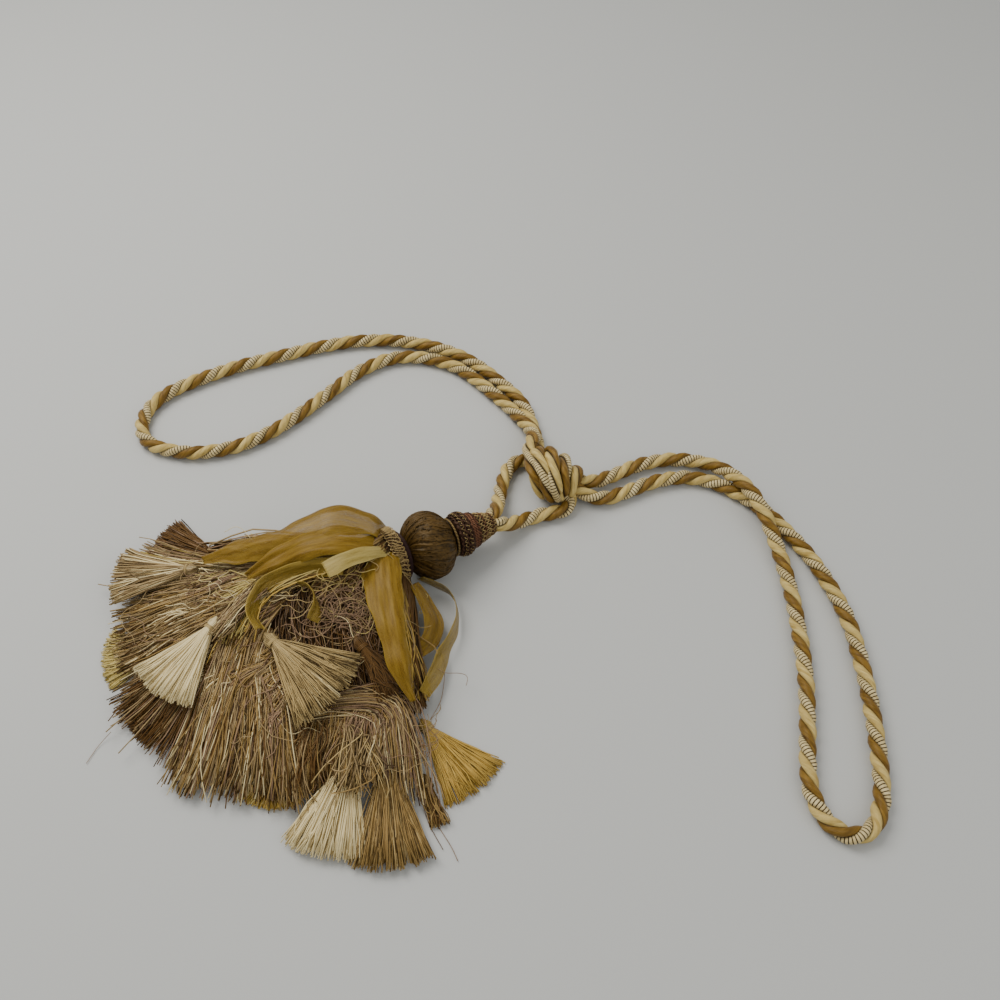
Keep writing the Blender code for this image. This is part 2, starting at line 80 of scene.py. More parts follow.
def ease(low: float, high: float, at: Array) -> Array:
    """0 below low, 1 above high, and a soft rise between."""
    share = np.clip((np.asarray(at, float) - low) / (high - low), 0.0, 1.0)
    return share * share * (3.0 - 2.0 * share)


def smooth_line(route: Sequence[Sequence[float]], step: float) -> Array:
    """Points a step apart on a smooth curve through a route.

    Args:
        route: points of any dimension that the curve passes through.
        step: the distance between the points returned.

    Returns:
        An array of evenly spaced points, both ends included.
    """
    points = np.array(route, float)
    padded = np.vstack((2 * points[0] - points[1], points, 2 * points[-1] - points[-2]))
    t = np.linspace(0, 1, 24, endpoint=False)[:, None]
    fine = []
    for before, start, end, after in zip(padded, padded[1:], padded[2:], padded[3:]):
        fine.append(
            0.5
            * (
                2 * start
                + (end - before) * t
                + (2 * before - 5 * start + 4 * end - after) * t**2
                + (3 * start - before - 3 * end + after) * t**3
            )
        )
    line = np.vstack((*fine, points[-1:]))
    lengths = np.concatenate(([0.0], np.cumsum(np.linalg.norm(np.diff(line, axis=0), axis=1))))
    wanted = np.linspace(0, lengths[-1], max(2, round(lengths[-1] / step) + 1))
    return np.stack([np.interp(wanted, lengths, line[:, i]) for i in range(line.shape[1])], axis=1)


def line_length(line: Array) -> float:
    """The length of a line of points."""
    return float(np.linalg.norm(np.diff(line, axis=0), axis=1).sum())


# ------------------------------------------------------------------ finishes


@dataclass
class Shading:
    """A node tree and the small steps that write it."""

    tree: bpy.types.NodeTree

    def add(self, kind: str, **values: object) -> bpy.types.Node:
        """Adds a node and sets its properties.

        Args:
            kind: the node's type.
            values: properties by name.

        Returns:
            The new node.
        """
        made = self.tree.nodes.new(kind)
        for key, value in values.items():
            setattr(made, key, value)
        return made

    def feed(self, value: object, socket: bpy.types.NodeSocket) -> None:
        """Sets a socket to a number or a colour, or links another socket to it."""
        if isinstance(value, (int, float)):
            socket.default_value = value
        elif isinstance(value, tuple):
            socket.default_value = (*value, 1.0)
        else:
            self.tree.links.new(value, socket)

    def maths(self, operation: str, *values: object, clamp: bool = False) -> object:
        """Adds a Math node whose inputs are sockets or numbers, and returns its output."""
        made = self.add("ShaderNodeMath", operation=operation, use_clamp=clamp)
        for value, socket in zip(values, made.inputs):
            self.feed(value, socket)
        return made.outputs[0]

    def mix(self, factor: object, first: object, second: object) -> object:
        """Adds a colour Mix node whose inputs are sockets, numbers or colours, and returns its result."""
        made = self.add("ShaderNodeMix", data_type="RGBA")
        for value, socket in ((factor, made.inputs[0]), (first, made.inputs[6]), (second, made.inputs[7])):
            self.feed(value, socket)
        return made.outputs[2]

    def noise(self, scale: object, detail: float, place: object) -> object:
        """Adds a Noise node of a scale and detail, read at a place, and returns its output."""
        made = self.add("ShaderNodeTexNoise")
        for value, label in ((scale, "Scale"), (detail, "Detail"), (place, "Vector")):
            self.feed(value, made.inputs[label])
        return made.outputs["Fac"]

    def attribute(self, name: str) -> object:
        """Reads one of the piece's own attributes."""
        return self.add("ShaderNodeAttribute", attribute_name=name).outputs["Fac"]

    def lay(self) -> tuple[object, object, object]:
        """Reads the piece's own map, and returns it whole and as its two axes."""
        whole = self.add("ShaderNodeUVMap", uv_map="lay").outputs["UV"]
        split = self.add("ShaderNodeSeparateXYZ")
        self.feed(whole, split.inputs[0])
        return whole, split.outputs["X"], split.outputs["Y"]

    @classmethod
    def group(
        cls, name: str, inputs: Sequence[tuple[str, str, object]], outputs: Sequence[tuple[str, str]]
    ) -> tuple["Shading", bpy.types.Node, bpy.types.Node]:
        """Starts a shader node group.

        Args:
            name: the group's name.
            inputs: name, socket type and default of each input.
            outputs: name and socket type of each output.

        Returns:
            The group's tree, its input node and its output node.
        """
        tree = bpy.data.node_groups.new(name, "ShaderNodeTree")
        for label, kind, default in inputs:
            tree.interface.new_socket(label, in_out="INPUT", socket_type=kind).default_value = default
        for label, kind in outputs:
            tree.interface.new_socket(label, in_out="OUTPUT", socket_type=kind)
        return cls(tree), tree.nodes.new("NodeGroupInput"), tree.nodes.new("NodeGroupOutput")


COLOUR_SOCKET, FLOAT_SOCKET = "NodeSocketColor", "NodeSocketFloat"


def fibre_tone_group() -> bpy.types.NodeTree:
    """Colour of loose threads: each has its own tone, mottled along it (partly painted glints), with painted
    shade at its root.

    Returns:
        The group, with inputs Dark, Light, Mottle, Root shade and Scale, and outputs Color and Height.
    """
    grey = (0.5, 0.5, 0.5, 1.0)
    nodes, given, out = Shading.group(
        "fibre_tone",
        [
            ("Dark", COLOUR_SOCKET, grey),
            ("Light", COLOUR_SOCKET, grey),
            ("Mottle", FLOAT_SOCKET, 0.3),
            ("Root shade", FLOAT_SOCKET, 0.4),
            ("Scale", FLOAT_SOCKET, 300.0),
        ],
        [("Color", COLOUR_SOCKET), ("Height", FLOAT_SOCKET)],
    )
    dark, light, mottle_and_glint, root_shade, scale, _ = given.outputs
    # The speckle makes each thread's tone wander along it; in part it stands for painted glints.
    speckle = nodes.noise(scale, 2.0, nodes.add("ShaderNodeTexCoord").outputs["Object"])
    lifted = nodes.maths("ADD", nodes.attribute("strand"), nodes.maths("MULTIPLY", speckle, mottle_and_glint))
    moved = nodes.maths("SUBTRACT", lifted, nodes.maths("MULTIPLY", mottle_and_glint, 0.5))
    tone = nodes.mix(nodes.maths("MULTIPLY", moved, 2.0, clamp=True), dark, light)
    # Painted shade: each thread darkens towards near-black near its root, where the threads are packed.
    rooted = nodes.maths("SUBTRACT", 1.0, nodes.maths("MULTIPLY", nodes.attribute("along"), 2.6), clamp=True)
    shade = nodes.maths("MULTIPLY", rooted, root_shade)
    nodes.feed(nodes.mix(shade, tone, (0.012, 0.007, 0.004)), out.inputs["Color"])
    nodes.feed(speckle, out.inputs["Height"])
    return nodes.tree


def ply_lay_group() -> bpy.types.NodeTree:
    """Fine yarns that run around and along a ply, read from its own map (u along, v around).

    Returns:
        The group, with inputs Yarns and Slant, and outputs Height and Streak.
    """
    nodes, given, out = Shading.group(
        "ply_lay",
        [("Yarns", FLOAT_SOCKET, 14.0), ("Slant", FLOAT_SOCKET, 0.3)],
        [("Height", FLOAT_SOCKET), ("Streak", FLOAT_SOCKET)],
    )
    _, along, around = nodes.lay()
    yarn = nodes.maths("MULTIPLY", around, given.outputs["Yarns"])
    turned = nodes.maths("ADD", yarn, nodes.maths("MULTIPLY", along, given.outputs["Slant"]))
    wave = nodes.maths("SINE", nodes.maths("MULTIPLY", turned, 2 * pi))
    joined = nodes.add("ShaderNodeCombineXYZ")
    nodes.feed(nodes.maths("MULTIPLY", along, 0.05), joined.inputs[0])
    nodes.feed(nodes.maths("FLOOR", turned), joined.inputs[1])
    nodes.feed(nodes.maths("ABSOLUTE", wave), out.inputs["Height"])
    nodes.feed(nodes.noise(2.1, 3.0, joined.outputs[0]), out.inputs["Streak"])
    return nodes.tree


def weave_group() -> bpy.types.NodeTree:
    """Organza: crossing threads read from the ribbon's own map, and soft cloudy thicker spots.

    Returns:
        The group, with input Count in threads a millimetre, and outputs Height, Open and Cloud.
    """
    nodes, given, out = Shading.group(
        "organza_weave",
        [("Count", FLOAT_SOCKET, 1.6)],
        [("Height", FLOAT_SOCKET), ("Open", FLOAT_SOCKET), ("Cloud", FLOAT_SOCKET)],
    )
    whole, *axes = nodes.lay()
    waves = []
    for axis in axes:
        turns = nodes.maths("MULTIPLY", axis, given.outputs["Count"])
        waves.append(nodes.maths("ABSOLUTE", nodes.maths("SINE", nodes.maths("MULTIPLY", turns, pi))))
    height = nodes.maths("MAXIMUM", *waves)
    place = nodes.add("ShaderNodeMapping")
    place.inputs["Scale"].default_value = (0.15, 0.022, 1.0)
    nodes.feed(whole, place.inputs["Vector"])
    nodes.feed(height, out.inputs["Height"])
    nodes.feed(nodes.maths("SUBTRACT", 1.0, height), out.inputs["Open"])
    nodes.feed(nodes.noise(3.0, 3.0, place.outputs["Vector"]), out.inputs["Cloud"])
    return nodes.tree


class Groups:
    """The shared node groups, each built once."""

    made: dict[str, bpy.types.NodeTree] = {}

    @classmethod
    def get(cls, name: str) -> bpy.types.NodeTree:
        """The named group, built on first use."""
        if name not in cls.made:
            makers = {"fibre_tone": fibre_tone_group, "ply_lay": ply_lay_group, "organza_weave": weave_group}
            cls.made[name] = makers[name]()
        return cls.made[name]

    @classmethod
    def place(cls, nodes: Shading, name: str, **inputs: object) -> bpy.types.Node:
        """Puts a shared group into a material's tree.

        Args:
            nodes: the material's tree.
            name: the group's name.
            inputs: input values by name, with _ for a space.

        Returns:
            The group node.
        """
        made = nodes.add("ShaderNodeGroup", node_tree=cls.get(name))
        for key, value in inputs.items():
            nodes.feed(value, made.inputs[key.replace("_", " ")])
        return made


@dataclass(frozen=True)
class Finish:
    """What every finish has: a name, the record's slot, roughness, sheen and gloss."""

    name: str
    slot: str
    roughness: float = 0.38
    sheen: float = 0.02
    specular: float = 0.3
    bump: float = 0.3
    metallic: float = 0.0
    gloss_tint: Colour = (1.0, 0.84, 0.58)

    def material(self) -> bpy.types.Material:
        """The finish's material, built on first use."""
        full_name = f"{self.name}_finish"
        found = bpy.data.materials.get(full_name)
        if found is None:
            found = bpy.data.materials.new(full_name)
            found.use_nodes = True
            nodes = Shading(found.node_tree)
            shader = nodes.tree.nodes["Principled BSDF"]
            constants = (
                ("Roughness", self.roughness), ("Metallic", self.metallic),
                ("Sheen Weight", self.sheen), ("Sheen Roughness", 0.4),
                ("Specular IOR Level", self.specular), ("Specular Tint", self.gloss_tint),
            )
            for label, value in constants:
                nodes.feed(value, shader.inputs[label])
            self.paint(nodes, shader)
        return found

    def relief(self, nodes: Shading, shader: bpy.types.Node, height: object, distance: float) -> None:
        """Feeds a height through a Bump node.

        Args:
            nodes: the material's tree.
            shader: the shader whose normal it feeds.
            height: the socket that gives the height.
            distance: the height of 1, in metres.
        """
        bump = nodes.add("ShaderNodeBump")
        for value, label in ((self.bump, "Strength"), (distance, "Distance"), (height, "Height")):
            nodes.feed(value, bump.inputs[label])
        nodes.feed(bump.outputs["Normal"], shader.inputs["Normal"])

    def paint(self, nodes: Shading, shader: bpy.types.Node) -> None:
        """Adds the finish's own nodes; each kind of finish has its own."""


@dataclass(frozen=True)
class ThreadFinish(Finish):
    """Loose or wound thread in a range of tones."""

    dark: Colour = (0.1, 0.06, 0.03)
    light: Colour = (0.3, 0.2, 0.1)
    # How far the tone wanders along a thread (partly painted glints), and how dark the painted shade at its
    # root is.
    mottle_and_glint: float = 0.6
    root_shade: float = 0.35
    speck: float = 300.0

    def paint(self, nodes: Shading, shader: bpy.types.Node) -> None:
        """Colours the threads by their own attribute and gives them a fine relief."""
        tone = Groups.place(
            nodes, "fibre_tone", Dark=self.dark, Light=self.light,
            Mottle=self.mottle_and_glint, Root_shade=self.root_shade, Scale=self.speck,
        )
        nodes.feed(tone.outputs["Color"], shader.inputs["Base Color"])
        self.relief(nodes, shader, tone.outputs["Height"], 0.0002)


@dataclass(frozen=True)
class GimpFinish(ThreadFinish):
    """Thread wound with a metal strip."""

    roughness: float = 0.36
    sheen: float = 0.0
    specular: float = 0.35
    bump: float = 0.5
    metallic: float = 0.3
    root_shade: float = 0.0
    speck: float = 1300.0


@dataclass(frozen=True)
class PlyFinish(Finish):
    """A rope's ply: fine yarns laid along it, with cross threads wound round it where it is striped."""

    deep: Colour = (0.1, 0.05, 0.01)
    bright: Colour = (0.3, 0.2, 0.05)
    yarns: float = 9.0
    slant: float = 0.12
    stripe: Colour = (0.06, 0.03, 0.01)
    stripe_step: float = 0.0
    stripe_share: float = 0.3
    # Colour of the painted shade on the side of a ply that meets the other plies.
    groove_shade: Colour = (0.028, 0.013, 0.004)

    def paint(self, nodes: Shading, shader: bpy.types.Node) -> None:
        """Streaks the ply along its yarns, draws the wound stripes, and paints shade in furrows and where
        plies meet.
        """
        lay = Groups.place(nodes, "ply_lay", Yarns=self.yarns, Slant=self.slant)
        spread = nodes.maths("MULTIPLY_ADD", lay.outputs["Streak"], 2.4, -0.7, clamp=True)
        # Painted shade: the furrows between the fine yarns are pulled towards the deep colour.
        furrow_shade = nodes.maths("LESS_THAN", lay.outputs["Height"], 0.22)
        colour = nodes.mix(spread, self.deep, self.bright)
        colour = nodes.mix(nodes.maths("MULTIPLY", furrow_shade, 0.45), colour, self.deep)
        if self.stripe_step:
            turns = nodes.maths("DIVIDE", nodes.lay()[1], self.stripe_step)
            wound = nodes.maths("LESS_THAN", nodes.maths("FRACT", turns), self.stripe_share)
            colour = nodes.mix(wound, colour, self.stripe)
        # Painted shade: the side of the ply that faces the rope's middle, where the plies press together, is
        # darkened.
        inner = nodes.maths("MULTIPLY_ADD", nodes.attribute("strand"), -4.6, 2.85, clamp=True)
        colour = nodes.mix(nodes.maths("MULTIPLY", inner, 0.92), colour, self.groove_shade)
        nodes.feed(colour, shader.inputs["Base Color"])
        self.relief(nodes, shader, lay.outputs["Height"], 0.00022)


@dataclass(frozen=True)
class OrganzaFinish(Finish):
    """Thin see-through ribbon."""

    roughness: float = 0.40
    sheen: float = 0.03
    bump: float = 0.25
    body: Colour = (0.5, 0.3, 0.05)
    bright: Colour = (0.7, 0.5, 0.15)
    cover: float = 0.8
    count: float = 1.6

    def paint(self, nodes: Shading, shader: bpy.types.Node) -> None:
        """Mixes cloudy colour, lets light through the gaps, and lifts the threads."""
        weave = Groups.place(nodes, "organza_weave", Count=self.count)
        selvage = nodes.maths("MULTIPLY_ADD", nodes.attribute("strand"), 16.0, -14.6, clamp=True)
        cloud = nodes.maths("MULTIPLY_ADD", weave.outputs["Cloud"], 1.5, -0.35)
        thick = nodes.maths("ADD", cloud, nodes.maths("MULTIPLY", selvage, 0.7), clamp=True)
        nodes.feed(nodes.mix(thick, self.body, self.bright), shader.inputs["Base Color"])
        gaps = nodes.maths("MULTIPLY", weave.outputs["Open"], 0.35)
        cover = nodes.maths("MULTIPLY_ADD", thick, 0.16, self.cover - 0.08)
        nodes.feed(nodes.maths("SUBTRACT", cover, gaps), shader.inputs["Alpha"])
        self.relief(nodes, shader, weave.outputs["Height"], 0.0001)


class Ply(Enum):
    """The rope's three plies, in their order around it."""

    BRONZE = PlyFinish(
        "ply_bronze", "rope", 0.40, 0.03, 0.35, 0.55,
        deep=(0.095, 0.044, 0.004), bright=(0.265, 0.148, 0.022),
    )
    CREAM = PlyFinish(
        "ply_cream", "rope", 0.46, 0.03, bump=0.55,
        deep=(0.400, 0.265, 0.065), bright=(0.720, 0.555, 0.205),
    )
    STRIPED = PlyFinish(
        "ply_striped", "rope", 0.50, bump=0.35,
        deep=(0.500, 0.375, 0.160), bright=(0.780, 0.640, 0.340),
        stripe=(0.024, 0.010, 0.003), stripe_step=1.75, stripe_share=0.31,
    )


class Thread(Enum):
    """Finishes of threads, by their maker's names."""

    CREAM = ThreadFinish(
        "thread_cream", "thread_cream", 0.36, mottle_and_glint=0.25, root_shade=0.3,
        dark=(0.46, 0.33, 0.13), light=(0.82, 0.68, 0.37),
    )
    CHAMPAGNE = ThreadFinish(
        "thread_champagne", "thread_champagne", 0.32, root_shade=0.4,
        dark=(0.055, 0.026, 0.004), light=(0.50, 0.36, 0.150),
    )
    GOLD = ThreadFinish(
        "thread_gold", "thread_gold", 0.32, root_shade=0.4,
        dark=(0.270, 0.150, 0.012), light=(0.56, 0.365, 0.080),
    )
    OLIVE = ThreadFinish(
        "thread_olive", "thread_gold", 0.34, root_shade=0.4,
        dark=(0.270, 0.180, 0.025), light=(0.62, 0.49, 0.17),
    )
    BRONZE = ThreadFinish(
        "thread_bronze", "thread_bronze", 0.34,
        dark=(0.050, 0.024, 0.004), light=(0.34, 0.215, 0.070),
    )
    TAUPE = ThreadFinish(
        "thread_taupe", "thread_taupe", 0.36,
        dark=(0.055, 0.027, 0.007), light=(0.36, 0.250, 0.115),
    )
    MAUVE = ThreadFinish(
        "thread_mauve", "thread_mauve",
        dark=(0.038, 0.016, 0.007), light=(0.28, 0.172, 0.100),
    )
    BROWN = ThreadFinish(
        "thread_brown", "thread_brown", root_shade=0.3,
        dark=(0.024, 0.010, 0.002), light=(0.135, 0.066, 0.018),
    )
    # Near-black: the skirt's core stands for the painted shade between the threads.
    CORE = ThreadFinish(
        "yarn_shade_core", "yarn_dark", 0.75, 0.0, 0.15, 0.6, root_shade=0.3,
        dark=(0.010, 0.004, 0.001), light=(0.034, 0.016, 0.005),
    )
    BALL = ThreadFinish(
        "ball_thread", "ball_thread", 0.46, 0.0, 0.28, 0.5, mottle_and_glint=0.8, root_shade=0.0, speck=420.0,
        dark=(0.008, 0.0035, 0.0006), light=(0.084, 0.045, 0.0100),
    )
    WAIST = ThreadFinish(
        "waist_thread", "waist_thread", 0.45, bump=0.4, mottle_and_glint=0.5, root_shade=0.0, speck=900.0,
        dark=(0.008, 0.002, 0.003), light=(0.036, 0.012, 0.014),
    )


class Gimp(Enum):
    """Finishes of wound metallic gimp."""

    DARK = GimpFinish(
        "gimp_dark", "neck_gimp", 0.40, metallic=0.25, mottle_and_glint=1.5,
        dark=(0.010, 0.004, 0.002), light=(0.066, 0.029, 0.017),
    )
    COPPER = GimpFinish(
        "gimp_copper", "neck_gimp", 0.38, mottle_and_glint=1.1,
        dark=(0.026, 0.009, 0.003), light=(0.160, 0.066, 0.034),
    )
    PALE = GimpFinish(
        "gimp_pale", "collar_braid", mottle_and_glint=1.3,
        dark=(0.050, 0.022, 0.005), light=(0.44, 0.31, 0.130),
    )
    GOLD = GimpFinish(
        "gimp_gold", "gold_cord", mottle_and_glint=0.9,
        dark=(0.06, 0.03, 0.006), light=(0.28, 0.185, 0.07),
    )


class Cloth(Enum):
    """Finishes of the ribbons."""

    AMBER = OrganzaFinish(
        "organza_amber", "ribbon", body=(0.170, 0.084, 0.003), bright=(0.330, 0.205, 0.022), cover=0.76
    )
    OLIVE = OrganzaFinish(
        "organza_olive", "ribbon", body=(0.200, 0.120, 0.008), bright=(0.400, 0.280, 0.055), cover=0.72
    )
    SHEER = OrganzaFinish(
        "organza_sheer", "ribbon_sheer", 0.36,
        body=(0.340, 0.245, 0.050), bright=(0.560, 0.450, 0.160), cover=0.62,
    )


# ------------------------------------------------------------------ fibres to meshes


@dataclass
class FibreMesh:
    """Collects swept fibres and makes one mesh object of them."""

    name: str
    finishes: Sequence[Finish]
    points: list[Array] = field(default_factory=list)
    faces: dict[int, list[Array]] = field(default_factory=dict)
    slots: dict[int, list[Array]] = field(default_factory=dict)
    maps: dict[int, list[Array]] = field(default_factory=dict)
    strands: list[Array] = field(default_factory=list)
    alongs: list[Array] = field(default_factory=list)
    total: int = 0

    def add_points(self, points: Array, strand: Array, along: Array) -> int:
        """Adds vertices with their attributes.

        Args:
            points: vertices in layout millimetres, (n, 3).
            strand: tone of each vertex, 0 dark to 1 light.
            along: place of each vertex along its fibre, 0 to 1.

        Returns:
            The index of the first of them.
        """
        first = self.total
        self.points.append(points)
        self.strands.append(np.broadcast_to(strand, len(points)))
        self.alongs.append(np.broadcast_to(along, len(points)))
        self.total += len(points)
        return first

    def add_faces(self, faces: Array, slot: int = 0, places: Array | None = None) -> None:
        """Adds faces of one corner count.

        Args:
            faces: vertex indices, (n, corners).
            slot: index of the finish.
            places: (n, corners, 2) places in the piece's own map, or None.
        """
        corners = faces.shape[1]
        self.faces.setdefault(corners, []).append(faces)
        self.slots.setdefault(corners, []).append(np.full(len(faces), slot))
        if places is None:
            places = np.zeros((*faces.shape, 2))
        self.maps.setdefault(corners, []).append(places)

    def add_tubes(
        self,
        paths: Array,
        radii: Array | float,
        sides: int,
        strand: Array | float = 0.5,
        slot: int = 0,
        closed: bool = False,
        reference: Array = UP,
        flat: float = 1.0,
    ) -> None:
        """Sweeps round or flattened tubes along many paths of one point count.

        Args:
            paths: (n, k, 3) points in layout millimetres.
            radii: radius everywhere, or (n, k) values.
            sides: sides of a tube.
            strand: one tone, or one for each path.
            slot: index of the finish.
            closed: whether each path is a ring.
            reference: a direction that no path follows, for the section's turn.
            flat: height of the section as a share of its width.
        """
        paths = np.asarray(paths, float)
        count, steps = paths.shape[:2]
        if closed:
            tangents = np.roll(paths, -1, axis=1) - np.roll(paths, 1, axis=1)
        else:
            tangents = np.gradient(paths, axis=1)
        tangents = unit(tangents)
        side = unit(np.cross(np.broadcast_to(reference, paths.shape), tangents))
        over = np.cross(tangents, side)
        turn = 2 * pi * np.arange(sides) / sides
        radii = np.broadcast_to(np.asarray(radii, float), (count, steps))[:, :, None, None]
        ring = side[:, :, None] * np.cos(turn)[:, None] + flat * over[:, :, None] * np.sin(turn)[:, None]
        points = paths[:, :, None] + radii * ring
        tone = np.repeat(np.broadcast_to(strand, count), steps * sides)
        along = np.tile(np.repeat(np.linspace(0, 1, steps), sides), count)
        first = self.add_points(points.reshape(-1, 3), tone, along)
        index = first + np.arange(count * steps * sides).reshape(count, steps, sides)
        beside = np.roll(index, -1, axis=2)
        if closed:
            after, after_beside = np.roll(index, -1, axis=1), np.roll(beside, -1, axis=1)
            quads = np.stack((index, beside, after_beside, after), axis=-1)
        else:
            quads = np.stack((index[:, :-1], beside[:, :-1], beside[:, 1:], index[:, 1:]), axis=-1)
        self.add_faces(quads.reshape(-1, 4), slot)
        if not closed:
            self.add_faces(index[:, 0, ::-1], slot)
            self.add_faces(index[:, -1], slot)

    def add_threads(
        self, laid: tuple[Array, Array], radius: float, rng: np.random.Generator, slot: int,
        thickness: tuple[float, float] = (0.7, 1.15),
    ) -> None:
        """Sweeps thin threads, each a little thicker or thinner than the next.

        Args:
            laid: (n, k, 3) points in layout millimetres, and each thread's tone.
            radius: a thread's full radius.
            rng: draws their thickness.
            slot: index of the finish.
            thickness: the thinnest and thickest, as shares of the radius.
        """
        paths, tones = laid
        self.add_tubes(paths, radius * rng.uniform(*thickness, (len(paths), 1)), 3, tones, slot)

    def build(self, smooth_angle: float = 180.0) -> bpy.types.Object:
        """Makes the object, at the origin with its place in its mesh.

        Args:
            smooth_angle: edges sharper than this, in degrees, stay sharp.

        Returns:
            The new object.
        """
        mesh = bpy.data.meshes.new(self.name)
        points = metres(np.vstack(self.points))
        mesh.vertices.add(len(points))
        mesh.vertices.foreach_set("co", points.ravel())
        kinds = sorted(self.faces)
        faces = [np.vstack(self.faces[kind]) for kind in kinds]
        totals = np.concatenate([np.full(len(group), kind) for kind, group in zip(kinds, faces)])
        loops = np.concatenate([group.ravel() for group in faces])
        mesh.loops.add(len(loops))
        mesh.loops.foreach_set("vertex_index", loops)
        mesh.polygons.add(len(totals))
        mesh.polygons.foreach_set("loop_start", np.concatenate(([0], np.cumsum(totals)[:-1])))
        slots = np.concatenate([np.concatenate(self.slots[kind]) for kind in kinds])
        mesh.polygons.foreach_set("material_index", slots)
        places = np.concatenate([np.concatenate([m.reshape(-1, 2) for m in self.maps[k]]) for k in kinds])
        lay = mesh.uv_layers.new(name="lay")
        lay.uv.foreach_set("vector", places.astype(np.float32).ravel())
        for label, values in (("strand", self.strands), ("along", self.alongs)):
            attribute = mesh.attributes.new(label, "FLOAT", "POINT")
            attribute.data.foreach_set("value", np.concatenate(values).astype(np.float32))
        mesh.update(calc_edges=True)
        mesh.validate()
        mesh.shade_smooth()
        if smooth_angle < 180.0:
            mesh.set_sharp_from_angle(angle=radians(smooth_angle))
        for finish in self.finishes:
            mesh.materials.append(finish.material())
        made = bpy.data.objects.new(self.name, mesh)
        bpy.context.scene.collection.objects.link(made)
        return made


def pick(kept: bpy.types.Object, *others: bpy.types.Object) -> None:
    """Selects some objects, with the first as the active one."""
    bpy.ops.object.select_all(action="DESELECT")
    for piece in (kept, *others):
        piece.select_set(True)
    bpy.context.view_layer.objects.active = kept


def settle(piece: bpy.types.Object, slot: str, *nodes: str) -> bpy.types.Object:
    """Puts a finished piece on the body and hides the nodes that it stands for.

    Args:
        piece: the finished piece.
        slot: the record's material slot; not used.
        nodes: CAD nodes that it replaces.

    Returns:
        The piece.
    """
    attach(piece, BODY)
    if nodes:
        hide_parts(*nodes)
    log.info("%s: %d faces", piece.name, len(piece.data.polygons))
    return piece


# ------------------------------------------------------------------ rope

ROPE_DIAMETER = 10.0
# Route points of each rope's middle line, in layout millimetres
LEFT_LOOP = (
    (148.0, 169.0, 14.0), (148.0, 181.0, 8.5), (145.5, 197.0, 5.2), (138.5, 222.0, 5.0),
    (123.0, 243.5, 5.0), (101.0, 266.5, 5.0), (76.0, 281.5, 5.0), (45.0, 290.0, 5.0),
    (14.0, 290.0, 5.0), (-15.0, 283.5, 5.0), (-45.0, 273.0, 5.0), (-73.0, 262.5, 5.0),
    (-100.0, 248.5, 5.0), (-120.5, 234.0, 5.0), (-131.5, 217.5, 5.0), (-132.5, 199.0, 5.0),
    (-125.5, 186.0, 5.0), (-110.0, 178.0, 5.0), (-87.0, 175.5, 5.0), (-62.0, 181.5, 5.0),
    (-41.0, 194.5, 5.0), (-22.0, 212.5, 5.0), (-3.0, 234.0, 5.0), (17.0, 256.5, 5.0),
    (42.0, 271.0, 5.0), (69.0, 270.0, 5.0), (92.5, 258.5, 5.0), (114.0, 236.5, 5.0),
    (131.5, 215.0, 5.0), (142.0, 196.0, 9.0), (145.0, 183.0, 15.0), (144.0, 172.0, 21.0),
)
RIGHT_LOOP = (
    (182.5, 146.5, 8.0), (194.0, 151.5, 6.0), (217.5, 164.0, 5.0), (240.0, 169.0, 5.0),
    (259.5, 166.0, 6.0), (275.0, 154.5, 10.0), (286.0, 135.0, 15.4), (293.5, 117.0, 13.5),
    (299.5, 95.0, 7.5), (303.0, 62.0, 5.0), (302.5, 25.0, 5.0), (300.5, -2.0, 5.0),
    (296.5, -28.0, 5.0), (292.0, -52.0, 5.0), (290.5, -70.0, 5.0), (295.5, -86.0, 5.0),
    (306.5, -94.0, 5.0), (319.0, -90.0, 5.0), (327.0, -76.0, 5.0), (330.5, -60.0, 5.0),
    (333.0, -40.0, 5.0), (335.0, -15.0, 5.0), (335.5, 12.0, 5.0), (334.0, 39.0, 5.0),
    (328.5, 63.0, 5.0), (320.5, 85.0, 5.0), (310.5, 104.0, 5.0), (298.5, 122.0, 5.0),
    (285.0, 136.0, 5.0), (271.0, 146.0, 5.0), (257.0, 151.5, 5.0), (243.0, 152.5, 5.0),
    (224.0, 148.0, 5.0), (206.0, 139.5, 5.0), (193.0, 134.5, 5.5), (182.5, 134.5, 7.0),
)
UPPER_LEG = (
    (117.3, 112.6, 16.0), (119.5, 120.0, 12.0), (121.0, 131.0, 7.5), (123.5, 148.0, 5.0),
    (128.0, 161.0, 5.0), (133.0, 166.5, 5.0), (138.5, 168.6, 5.0),
)
LOWER_LEG = (
    (166.5, 126.5, 5.0), (163.5, 124.0, 5.0), (157.0, 122.0, 5.0), (148.0, 120.0, 5.0),
    (138.0, 115.5, 6.0), (129.5, 109.5, 10.0), (122.6, 104.9, 15.0),
)
# Where the ropes run on inside the knot and the neck, out of sight
LOOP_CORE = ((160.0, 148.0, 12.0), (155.0, 157.0, 16.0))
RIGHT_CORE_START = ((164.0, 148.0, 12.0), (173.0, 146.5, 10.5))
RIGHT_CORE_END = ((173.0, 139.0, 9.5), (164.0, 142.0, 11.0))
UPPER_LEG_CORE = ((143.6, 166.6, 6.0), (149.0, 160.0, 8.6))
NECK_ENTRY_UPPER = ((112.5, 104.5, 17.4), (115.3, 108.0, 17.4))
NECK_ENTRY_LOWER = ((117.6, 104.4, 16.8), (112.5, 102.5, 17.4))
# The wraps, from the left: x over the top at the back, x low at the front, half width and half height of
# the middle line's turn, and y of its middle
WRAPS = (
    (141.5, 150.5, 11.8, 9.8, 146.0),
    (147.0, 156.0, 15.8, 12.2, 145.5),
    (156.0, 159.0, 16.2, 12.4, 145.0),
    (165.0, 162.5, 12.6, 9.8, 144.5),
    (173.0, 167.0, 8.0, 6.4, 143.0),
)


